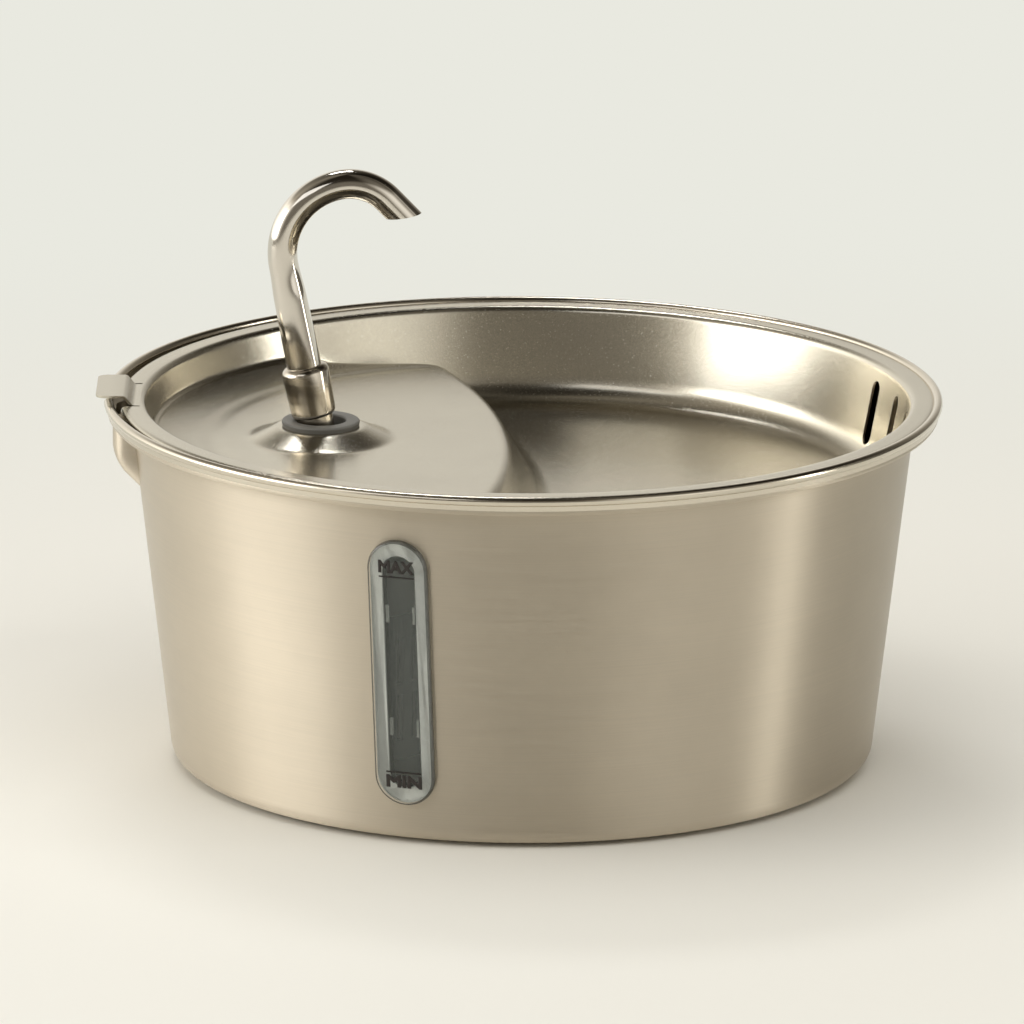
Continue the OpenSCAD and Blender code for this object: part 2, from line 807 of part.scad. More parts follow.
module flow_slider() {
    color([0.6, 0.62, 0.63])
    pump_place() translate([0, 0, -8.3]) {
        translate([9 + run_gap, -7.7, 0]) cube([1.64, 15.4, 7]);
        translate([10, -6, 5.2]) cube([2, 12, 1.2]);
    }
}

module impeller() {
    color([0.88, 0.88, 0.86])
    difference() {
        union() {
            pump_rod(-4.6, -3.4, imp_r);
            pump_rod(-6.6, 3, 3.1);
            for (i = [0:blades - 1]) pump_place() rotate([i * 360 / blades, 0, 0])
                translate([-3.5, -0.6, 0]) cube([6.2, 1.2, imp_r - 0.2]);
        }
        pump_rod(-7, 5, shaft_r + run_gap);
    }
}

module rotor_magnet() {
    color([0.25, 0.25, 0.27])
    difference() {
        pump_rod(-24.4, -6.6, 6.3);
        pump_rod(-25, -5, shaft_r + run_gap);
    }
}

module rotor_shaft() {
    color([0.9, 0.9, 0.88])
    pump_rod(-26.5, 7.7, shaft_r);
}

module shaft_bushes() {
    color([0.1, 0.1, 0.1])
    difference() {
        union() {
            pump_rod(-26.6, -24.6, 7 - snug_gap);
            pump_rod(3.2, 7.8, shaft_r + 1.25 - snug_gap);
        }
        pump_rod(-27, 8, shaft_r + 0.02);
    }
}

module coil_core() {
    color([0.4, 0.4, 0.42])
    pump_place() translate([-23, 0, 0]) {
        w = motor_w - 5.4;
        for (m = [0, 1]) mirror([0, m, 0]) translate([0, w / 2 - 3.2, -7]) cube([11, 3.2, 19.4]);
        translate([0, -w / 2, 10]) cube([11, w, 2.4]);
    }
}

module coil_winding() {
    color([0.72, 0.42, 0.2])
    pump_place() difference() {
        translate([-25, -8.6, 8.7]) cube([15, 17.2, 5]);
        translate([-23.05, -20, 9.95]) cube([11.1, 40, 2.5]);
    }
}

module cable_gland() {
    color([0.1, 0.1, 0.11])
    difference() {
        union() {
            post(gland_x, gland_y, gland_r, shaft_z + 13.9, shaft_z + 16);
            post(gland_x, gland_y, gland_r + 1, shaft_z + 15.5, shaft_z + 18.5);
        }
        post(gland_x, gland_y, gland_r - 0.9, shaft_z + 13, shaft_z + 19);
    }
}

module pump_feet() {
    color([0.12, 0.12, 0.12])
    for (i = [-1, 1], j = [-1, 1])
        post(foot_x - motor_x + i * (motor_l / 2 - 4), j * (motor_w / 2 - 5), 2.2, case_z + 2,
            case_z + 2 + feet_h);
}

// ---------------------------------------------------------------- filter cartridge

module filter_basket() {
    color([0.9, 0.9, 0.88])
    difference() {
        post(case_x, 0, case_r, basket_low, cap_top - 2.6);
        difference() {
            post(case_x, 0, case_in, basket_low + 3.8, cap_top);
            post(foot_x, 0, hole_r + 1.6, basket_low, cap_top);
        }
        post(foot_x, 0, hole_r, basket_low - 1, cap_top + 1);
        difference() {
            post(case_x, 0, case_r - 1 + run_gap, basket_low - 1, basket_low + 2 + run_gap);
            post(case_x, 0, case_in - 0.3, basket_low - 2, basket_low + 4);
        }
        for (a = [15:30:345]) translate([case_x, 0, 0]) rotate(a)
            translate([18.5, -1, basket_low - 1]) cube([10, 2, 6]);
    }
}

module carbon_bed() {
    color([0.07, 0.07, 0.07])
    difference() {
        post(case_x, 0, case_in - 0.2, basket_low + 3.8, basket_low + 10);
        post(foot_x, 0, hole_r + 1.8, basket_low, cap_top);
    }
}

module fleece_pad() {
    color([0.94, 0.94, 0.92])
    difference() {
        post(case_x, 0, case_in - 0.2, basket_low + 10, cap_top - 3.6);
        post(foot_x, 0, hole_r + 1.8, basket_low, cap_top);
    }
}

module filter_cap() {
    color([0.86, 0.87, 0.86])
    difference() {
        union() {
            post(case_x, 0, case_r, cap_top - 2.6, cap_top - 0.8);
            post(case_x, 0, case_in - run_gap, cap_top - 3.6, cap_top - 2.5);
            for (s = [-1, 1]) translate([case_x, s * 24, cap_top - 1])
                linear_extrude(1) round_rect(14, 3, 1);
        }
        post(foot_x, 0, hole_r + 1.6 + run_gap, cap_top - 4, cap_top - 2.6);
        post(foot_x, 0, hole_r, cap_top - 5, cap_top + 1);
        for (a = [15:15:345]) if (a != 90 && a != 270) translate([case_x, 0, 0]) rotate(a)
            translate([19, -0.9, cap_top - 5]) cube([10.5, 1.8, 8]);
    }
}

tub();
foot_pad();
window_gasket();
window_lens();
window_frame();
window_screws();
tray();
spout_grommet();
spout_tube();
spout_collar();
spout_stem();
spout_seal();
elbow_sleeve();
filter_case();
suction_cups();
intake_sponge();
pump_housing();
pump_cover();
flow_slider();
impeller();
rotor_magnet();
rotor_shaft();
shaft_bushes();
coil_core();
coil_winding();
cable_gland();
pump_feet();
filter_basket();
carbon_bed();
fleece_pad();
filter_cap();
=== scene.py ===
"""Pet water fountain: pieces, finishes, light and camera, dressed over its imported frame.

Lengths in the classes are millimetres; meshes are made in metres. The frame's origin is the
middle of the footprint on the floor, +Z is up, the lift tab is at the -X side and the drain
slots are at the +X side.
"""

import json
import logging
import math
from collections.abc import Callable
from dataclasses import dataclass, field
from enum import Enum

import bmesh
import bpy
import numpy as np
from mathutils import Matrix, Vector

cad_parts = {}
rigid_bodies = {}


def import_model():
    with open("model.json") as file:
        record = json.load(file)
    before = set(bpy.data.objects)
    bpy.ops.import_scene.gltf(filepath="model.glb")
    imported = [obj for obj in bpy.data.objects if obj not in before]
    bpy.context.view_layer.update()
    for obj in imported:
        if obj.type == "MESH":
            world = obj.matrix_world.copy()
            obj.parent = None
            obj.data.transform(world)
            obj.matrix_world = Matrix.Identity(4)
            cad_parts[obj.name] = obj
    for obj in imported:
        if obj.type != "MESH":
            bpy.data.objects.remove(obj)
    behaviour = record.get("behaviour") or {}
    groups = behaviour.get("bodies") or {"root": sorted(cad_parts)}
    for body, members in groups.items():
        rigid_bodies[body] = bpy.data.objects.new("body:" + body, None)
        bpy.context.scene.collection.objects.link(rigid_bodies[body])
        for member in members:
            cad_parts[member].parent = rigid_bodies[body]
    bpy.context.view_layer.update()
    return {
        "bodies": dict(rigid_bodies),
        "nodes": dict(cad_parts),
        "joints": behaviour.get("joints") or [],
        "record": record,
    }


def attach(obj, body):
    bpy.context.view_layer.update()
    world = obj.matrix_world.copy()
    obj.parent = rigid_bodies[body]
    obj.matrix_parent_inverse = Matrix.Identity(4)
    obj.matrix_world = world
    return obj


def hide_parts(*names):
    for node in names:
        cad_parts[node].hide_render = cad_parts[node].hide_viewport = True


MM = 0.001
# sides of the tub's large circles, whose outline shows at its full size
FINE = 288
# part of its range in which a noise texture mostly lies
NOISE = {"From Min": 0.3, "From Max": 0.7}
Profile = list[tuple[float, float]]
Point = tuple[float, float, float]
Colour = tuple[float, float, float, float]
Piece = bpy.types.Object
Material = bpy.types.Material
Tree = bpy.types.NodeTree
Socket = bpy.types.NodeSocket
log = logging.getLogger("fountain")


# ---------------------------------------------------------------- workshop


def srgb(code: str) -> Colour:
    """Turn an sRGB hex colour, such as "B8AE9C", into Blender's linear colour."""
    parts = [int(code[i : i + 2], 16) / 255 for i in (0, 2, 4)]
    linear = [c / 12.92 if c <= 0.04045 else ((c + 0.055) / 1.055) ** 2.4 for c in parts]
    return (linear[0], linear[1], linear[2], 1.0)


def shade(code: str, factor: float) -> Colour:
    """Scale an sRGB colour's brightness by a factor in linear light."""
    r, g, b, a = srgb(code)
    return (r * factor, g * factor, b * factor, a)


def add_node(tree: Tree, kind: str, links: dict | None = None, **settings) -> bpy.types.Node:
    """Add one shader node with its settings and its incoming links.

    Args:
        tree: node tree that gets the node.
        kind: Blender's shader node type without its first words, such as "TexNoise".
        links: input name or number to the output socket, or plain value, that feeds it.
        settings: attributes of the node, such as operation="MULTIPLY".

    Returns:
        The new node.
    """
    node = tree.nodes.new("ShaderNode" + kind)
    for name, value in settings.items():
        setattr(node, name, value)
    for name, source in (links or {}).items():
        socket = node.inputs[name]
        if isinstance(source, Socket):
            tree.links.new(source, socket)
        else:
            socket.default_value = source
    return node


def deselect() -> None:
    """Leave edit mode and deselect everything."""
    if bpy.context.mode != "OBJECT":
        bpy.ops.object.mode_set(mode="OBJECT")
    bpy.ops.object.select_all(action="DESELECT")


def take(piece: Piece) -> Piece:
    """Make a piece the only selected one, in object mode."""
    deselect()
    piece.select_set(True)
    bpy.context.view_layer.objects.active = piece
    return piece


def edit(piece: Piece) -> None:
    """Make a piece the only selected one and open it in edit mode, with all of its mesh selected."""
    take(piece)
    bpy.ops.object.mode_set(mode="EDIT")
    bpy.ops.mesh.select_all(action="SELECT")


def pick(piece: Piece, kind: str, test: Callable) -> None:
    """Select the edges, faces or vertices of a piece in edit mode that pass a test.

    Args:
        piece: the piece, in edit mode.
        kind: "VERT", "EDGE" or "FACE".
        test: function of a bmesh element that says whether it is taken.
    """
    bpy.ops.mesh.select_mode(type=kind)
    mesh = bmesh.from_edit_mesh(piece.data)
    for group in (mesh.faces, mesh.edges, mesh.verts):
        for element in group:
            element.select = False
    for element in {"VERT": mesh.verts, "EDGE": mesh.edges, "FACE": mesh.faces}[kind]:
        if test(element):
            element.select_set(True)
    mesh.select_flush_mode()
    bmesh.update_edit_mesh(piece.data)


def smooth(piece: Piece, angle_deg: float = 35.0) -> Piece:
    """Shade a piece smooth, but for edges sharper than an angle."""
    take(piece)
    bpy.ops.object.shade_smooth_by_angle(angle=math.radians(angle_deg))
    return piece


def close_up(piece: Piece) -> Piece:
    """Merge a piece's doubles, close its open ends, turn its faces outwards and smooth its shading."""
    edit(piece)
    bpy.ops.mesh.remove_doubles(threshold=0.5e-6)
    bpy.ops.mesh.select_all(action="DESELECT")
    bpy.ops.mesh.select_mode(type="EDGE")
    bpy.ops.mesh.select_non_manifold(
        extend=False, use_multi_face=False, use_non_contiguous=False, use_verts=False
    )
    bpy.ops.mesh.fill_holes(sides=0)
    face_outwards()
    # the operator alone turns the spout's collar inside out, so the sign of the volume decides
    if bmesh.from_edit_mesh(piece.data).calc_volume(signed=True) < 0:
        bpy.ops.mesh.flip_normals()
    return smooth(piece)


def face_outwards() -> None:
    """Turn all faces of the piece in edit mode outwards."""
    bpy.ops.mesh.select_all(action="SELECT")
    bpy.ops.mesh.normals_make_consistent(inside=False)


def thicken(piece: Piece, sheet: float, offset: float) -> Piece:
    """Give an open sheet its thickness in millimetres: all inwards at offset -1, half to each side at 0."""
    take(piece)
    modifier = piece.modifiers.new("sheet", "SOLIDIFY")
    modifier.thickness, modifier.offset = sheet * MM, offset
    bpy.ops.object.modifier_apply(modifier="sheet")
    return piece


def join(parts: list[Piece]) -> Piece:
    """Join pieces into the first of them."""
    take(parts[0])
    for part in parts[1:]:
        part.select_set(True)
    bpy.ops.object.join()
    return parts[0]


def extrude(x: float, y: float, z: float) -> None:
    """Extrude what is selected in edit mode, by metres."""
    bpy.ops.mesh.extrude_region_move(TRANSFORM_OT_translate={"value": (x, y, z)})


def widen(factor: float, height: float) -> None:
    """Scale what is selected in edit mode about the Z axis, at a height in millimetres."""
    bpy.ops.transform.resize(value=(factor, factor, 1), center_override=(0, 0, height * MM))


def turned(name: str, profile: Profile, segments: int = 128, closed: bool = False) -> Piece:
    """Turn a piece on the Z axis: a circle, extruded and widened along its profile.

    Args:
        name: name of the piece.
        profile: radius and height of each point, in millimetres.
        segments: sides of the circle.
        closed: true where the last point comes back to the first, as in a ring.

    Returns:
        The closed piece.
    """
    deselect()
    radius, height = profile[0]
    bpy.ops.mesh.primitive_circle_add(vertices=segments, radius=radius * MM, location=(0, 0, height * MM))
    piece = bpy.context.object
    piece.name = name
    bpy.ops.object.transform_apply(location=True, rotation=True, scale=True)
    edit(piece)
    for r, z in profile[1:] + (profile[:1] if closed else []):
        extrude(0, 0, (z - height) * MM)
        if r != radius:
            widen(r / radius, z)
        radius, height = r, z
    return close_up(piece)


def block(name: str, low: Point, high: Point) -> Piece:
    """Add a box between two corners, in millimetres."""
    deselect()
    size = [(b - a) * MM for a, b in zip(low, high)]
    middle = [(a + b) / 2 * MM for a, b in zip(low, high)]
    bpy.ops.mesh.primitive_cube_add(size=1.0, location=middle, scale=size)
    bpy.ops.object.transform_apply(location=True, rotation=True, scale=True)
    bpy.context.object.name = name
    return bpy.context.object


def round_edges(piece: Piece, radius: float, steps: int, test: Callable) -> Piece:
    """Bevel the edges of a piece that pass a test, with a radius in millimetres."""
    edit(piece)
    pick(piece, "EDGE", test)
    bpy.ops.mesh.bevel(offset=radius * MM, segments=steps, affect="EDGES")
    deselect()
    return piece


def along(axis: int) -> Callable:
    """Give a test for edges that run along an axis."""
    return lambda e: abs((e.verts[0].co - e.verts[1].co).normalized()[axis]) > 0.99


def bar(name: str, length: float, width: float, x0: float, x1: float, steps: int = 12) -> Piece:
    """Model a bar with round ends, upright along Z, between two places along X."""
    piece = block(name, (x0, -width / 2, -length / 2), (x1, width / 2, length / 2))
    return round_edges(piece, width / 2 - 0.005, steps, along(0))


def turn_by(degrees: float, axis: str = "Z") -> Matrix:
    """Give a turn about an axis, by an angle in degrees."""
    return Matrix.Rotation(math.radians(degrees), 4, axis)


def move_by(x: float, y: float, z: float) -> Matrix:
    """Give a move in millimetres."""
    return Matrix.Translation(Vector((x, y, z)) * MM)


def placed(piece: Piece, matrix: Matrix) -> Piece:
    """Move a piece's mesh by a matrix whose lengths are metres."""
    piece.data.transform(matrix)
    return piece


def carve(piece: Piece, tool: Piece, how: str = "DIFFERENCE") -> Piece:
    """Cut a piece with a tool, or join the tool to it, and throw the tool away.

    Args:
        piece: the piece that is changed.
        tool: the solid that cuts or joins.
        how: "DIFFERENCE" or "UNION".

    Returns:
        The piece.
    """
    modifier = piece.modifiers.new("carve", "BOOLEAN")
    modifier.operation = how
    modifier.object = tool
    modifier.solver = "MANIFOLD"
    take(piece)
    bpy.ops.object.modifier_apply(modifier="carve")
    bpy.data.objects.remove(tool)
    return piece


def arc(x: float, z: float, radius: float, start: float, end: float, steps: int) -> Profile:
    """Give the points of an arc in a profile, from one angle in degrees to another."""
    angles = [math.radians(start + (end - start) * i / steps) for i in range(steps + 1)]
    return [(x + radius * math.cos(a), z + radius * math.sin(a)) for a in angles]


def stand_for(piece: Piece, body: str, slot: str, material: Material, *nodes: str) -> None:
    """Give a finished piece its body, its finish and the nodes that it stands for."""
    piece.data.materials.clear()
    piece.data.materials.append(material)
    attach(piece, body)
    if nodes:
        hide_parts(*nodes)
    log.info("%s: %d faces on %s", piece.name, len(piece.data.polygons), body)


# ---------------------------------------------------------------- tub


@dataclass
class Tub:
    """Spun stainless tub: base, flaring wall, ledge, band and rolled bead, with its cord channel.

    Attributes:
        foot: height of the base above the floor.
        wall_foot: radius of the wall line at the base.
        flare: growth of the wall radius per millimetre of height.
        sheet: thickness of the steel.
        corner: radius between base and wall.
        ledge: height of the underside of the ledge.
        band: outer radius of the band on the ledge.
        bead: radius of the rolled bead.
        top: height of the top of the bead.
        turn: turn of the cord channel from the X axis, in degrees.
        channel_half: half width of the cord channel.
        channel_reach: how far the channel reaches out from the tub's axis.
        channel_low: height at which the channel's sloping end starts at its outer face.
        notch_half: half width of the notch in the band, for the cord.
        window: direction, height, length and width of the opening behind the window.
        pad_inset: how far the pad lies inside the base's edge.
    """

    foot: float = 1.0
    wall_foot: float = 102.6
    flare: float = 0.1155
    sheet: float = 0.8
    corner: float = 5.0
    ledge: float = 103.3
    band: float = 121.48
    bead: float = 1.4
    top: float = 109.0
    turn: float = -4.0
    channel_half: float = 9.5
    channel_reach: float = 119.8
    channel_low: float = 89.8
    notch_half: float = 7.6
    window: tuple[float, float, float, float] = (-112.2, 53.0, 72.4, 11.2)
    pad_inset: float = 9.6

    def wall(self, z: float) -> float:
        """Give the outer radius of the wall at a height."""
        return self.wall_foot + self.flare * (z - self.foot)

    @property
    def lean(self) -> float:
        """Angle of the wall from the upright, in degrees."""
        return math.degrees(math.atan(self.flare))

    def on_wall(self, turn: float, height: float) -> Matrix:
        """Give a place on the wall by its direction and height: X outwards, Y across, Z up the wall."""
        return turn_by(turn) @ move_by(self.wall(height), 0, height) @ turn_by(self.lean, "Y")

    def side(self, inset: float, steps: int = 8) -> Profile:
        """Give the sheet's face from the base to the band.

        Args:
            inset: 0 for the outer face, the sheet's thickness for the inner face.
            steps: number of steps in each round corner.

        Returns:
            Points from the base's edge up to the foot of the band.
        """
        out = (math.cos(math.radians(self.lean)), -math.sin(math.radians(self.lean)))
        low = self.foot + self.corner
        base = (self.wall(low + self.corner * out[1]) - self.corner * out[0], low)
        hollow = 1.2
        knee_z = self.ledge - hollow - hollow * out[1]
        knee = (self.wall(knee_z) + hollow * out[0], self.ledge - hollow)
        heel = (self.band - 2 * self.sheet, self.ledge + 2 * self.sheet)
        points = arc(*base, self.corner - inset, -90, -self.lean, steps)
        points += arc(*knee, hollow + inset, 180 - self.lean, 90, steps)
        points += arc(*heel, 2 * self.sheet - inset, -90, 0, steps)
        return points

    def bead_ring(self) -> Profile:
        """Give the rolled bead, from the band's outer face round to its inner face."""
        middle = (self.band - self.sheet / 2, self.top - self.bead)
        meet = math.degrees(math.acos(self.sheet / 2 / self.bead))
        return arc(*middle, self.bead, -meet, 180 + meet, 20)

    def channel(self, grow: float) -> Piece:
        """Model the cord channel as a solid, with a lower end that slopes back into the wall."""
        reach, half = self.channel_reach + grow, self.channel_half + grow
        low = (self.channel_low - grow * 0.4) * MM
        # the block starts inside the wall and ends above the ledge, where build() cuts it off
        solid = block("channel", (-reach, -half, 70), (-100, half, self.ledge + 7))
        edit(solid)
        bpy.ops.mesh.bisect(
            plane_co=(-reach * MM, 0, low), plane_no=(-1, 0, -1), use_fill=True, clear_outer=True
        )
        round_edges(solid, 5 + grow, 8, lambda e: any(v.co.x < -0.11 and v.co.z < low + MM for v in e.verts))
        return placed(solid, turn_by(self.turn))

    def build(self) -> Piece:
        """Model the tub.

        Returns:
            The tub with its channel, notch and window hole.
        """
        inner = self.side(self.sheet)
        piece = turned("tub_shell", self.side(0) + self.bead_ring() + inner[::-1], FINE)
        shell = self.channel(0)
        carve(shell, turned("room", [(self.wall(z) - self.sheet, z) for z in (30, 112)], FINE))
        carve(shell, block("lid", (-130, -30, self.ledge + 0.5), (-90, 30, 120)))
        carve(piece, shell, "UNION")
        carve(piece, self.channel(-self.sheet))
        low = (-self.band - 5, -self.notch_half, self.ledge + 0.95)
        notch = block("notch", low, (-self.band + 7, self.notch_half, 115))
        carve(piece, placed(notch, turn_by(self.turn)))
        turn, height, length, width = self.window
        carve(piece, placed(bar("opening", length, width, -9, 9, 16), self.on_wall(turn, height)))
        return smooth(piece, 30)

    def polish_rim(self, piece: Piece, material: Material) -> None:
        """Give the band and the rolled bead, which are buffed after rolling, a finish of their own."""
        piece.data.materials.append(material)
        for face in piece.data.polygons:
            if face.center.z > (self.ledge + 1.5) * MM:
                face.material_index = 1

    def build_pad(self) -> Piece:
        """Model the rubber pad under the base, with its four gripping grooves."""
        radius = self.wall_foot - self.pad_inset
        points: Profile = [(radius - 0.3, self.foot), (radius, self.foot - 0.3), (radius, 0.2)]
        points.append((radius - 0.2, 0))
        for i in (4, 3, 2, 1):
            near = radius * (i + 0.7) / 5.2
            points += [(near + 3, 0), (near + 2.8, 0.4), (near + 0.2, 0.4), (near, 0)]
        return turned("anti_slip_pad", points + [(6, 0)], 160)


# ---------------------------------------------------------------- water window


@dataclass
class WaterWindow:
    """Clear level window in the tub wall, on its gasket, with two printed level marks.

    Attributes:
        tub: the tub that carries it.
        turn: direction of the window round the tub, in degrees.
        height: height of its middle above the floor.
        length: length of the clear plate.
        width: width of the clear plate.
        slot: length and width of the opening behind it.
        front: distance of the plate's front face from the wall.
        clear_rim: how much narrower the gasket is than the plate, so that a clear rim shows.
        mark: width and height of a word and thickness of its ink.
        marks: each mark's word, and the heights of its line and of its word above the middle.
    """

    tub: Tub
    turn: float = -112.2
    height: float = 53.0
    length: float = 81.0
    width: float = 18.0
    slot: tuple[float, float] = (71.0, 9.8)
    front: float = 2.5
    clear_rim: float = 1.2
    mark: tuple[float, float, float] = (10.8, 3.9, 0.06)
    marks: tuple[tuple[str, float, float], ...] = (("MAX", 29.6, 32.7), ("MIN", -30.2, -33.0))

    @property
    def place(self) -> Matrix:
        """Place of the window: X outwards, Y across, Z up the wall."""
        return self.tub.on_wall(self.turn, self.height)

    def build_lens(self) -> Piece:
        """Model the clear plate with its rounded rim and the tongue that fills the opening."""
        plate = bar("level_lens", self.length, self.width, 1, self.front, 20)
        round_edges(plate, 1.1, 5, lambda e: all(v.co.x > (self.front - 0.01) * MM for v in e.verts))
        tongue = bar("tongue", self.slot[0] - 0.6, self.slot[1] - 0.6, -2.2, 1.5, 16)
        carve(plate, tongue, "UNION")
        return smooth(placed(plate, self.place), 30)

    def build_gasket(self) -> Piece:
        """Model the flat gasket between plate and wall, cut to the wall's curve."""
        less = self.clear_rim
        ring = bar("window_seal", self.length - less, self.width - less, -2, 1, 20)
        carve(ring, bar("opening", self.slot[0], self.slot[1], -9, 9, 16))
        placed(ring, self.place)
        wall = turned("wall", [(self.tub.wall(z), z) for z in (0, 109)], FINE)
        return smooth(carve(ring, wall), 30)

    def shade_plate_rim(self, piece: Piece, material: Material) -> None:
        """Give the plate's rounded rim a glossy finish of its own, tinted dark as painted shade for the
        shadowed outline round the plate.
        """
        piece.data.materials.append(material)
        out = self.place.to_3x3() @ Vector((1, 0, 0))
        # faces that turn away from square on take the dark rim finish: painted shade
        for face in piece.data.polygons:
            if abs(face.normal @ out) < 0.97:
                face.material_index = 1

    def build_clips(self) -> Piece:
        """Model the four small bosses moulded in the tongue along the opening's edges."""
        edge, deep, half, up = 4.6, 1.1, 2.6, 17.3
        parts = [
            block("window_clips", (-0.6, y, z - half), (0.3, y + deep, z + half))
            for y in (-edge, edge - deep)
            for z in (-up, up)
        ]
        piece = round_edges(join(parts), 0.25, 2, along(2))
        return smooth(placed(piece, self.place), 30)

    def trim_screws(self, piece: Piece) -> Piece:
        """Cut off the screws' tips, which end out of sight in the gasket's blind holes."""
        place = self.place
        placed(piece, place.inverted())
        edit(piece)
        bpy.ops.mesh.bisect(
            plane_co=(-0.9 * MM, 0, 0), plane_no=(1, 0, 0), use_fill=True, clear_outer=True
        )
        deselect()
        return placed(piece, place)

    def build_mark(self, word: str, z: float, text_z: float) -> Piece:
        """Model one printed mark: a word and its level line.

        Args:
            word: the generic word for the level.
            z: height of the line above the window's middle.
            text_z: height of the word's middle above the window's middle.

        Returns:
            The mark, just proud of the plate.
        """
        deselect()
        bpy.ops.object.text_add()
        piece = bpy.context.object
        piece.data.body = word
        piece.data.bevel_depth = 0.05
        piece.data.bevel_resolution = 0
        piece.data.extrude = 0.5
        piece.data.align_x, piece.data.align_y = "CENTER", "CENTER"
        bpy.ops.object.convert(target="MESH")
        piece.name = "level_mark_" + word.lower()
        low = np.min([v.co for v in piece.data.vertices], 0)
        high = np.max([v.co for v in piece.data.vertices], 0)
        wide, tall, ink = self.mark
        size = (wide * MM / (high[0] - low[0]), tall * MM / (high[1] - low[1]), ink * MM)
        middle = Vector((low + high) / 2)
        upright = Matrix(((0, 0, 1, 0), (1, 0, 0, 0), (0, 1, 0, 0), (0, 0, 0, 1)))
        place = move_by(self.front + ink / 2, 0, text_z) @ upright
        placed(piece, place @ Matrix.Diagonal((*size, 1)) @ Matrix.Translation(-middle))
        line = block("line", (self.front, -5.3, z - 0.25), (self.front + ink, 5.3, z + 0.25))
        return placed(join([piece, line]), self.place)


# ---------------------------------------------------------------- tray


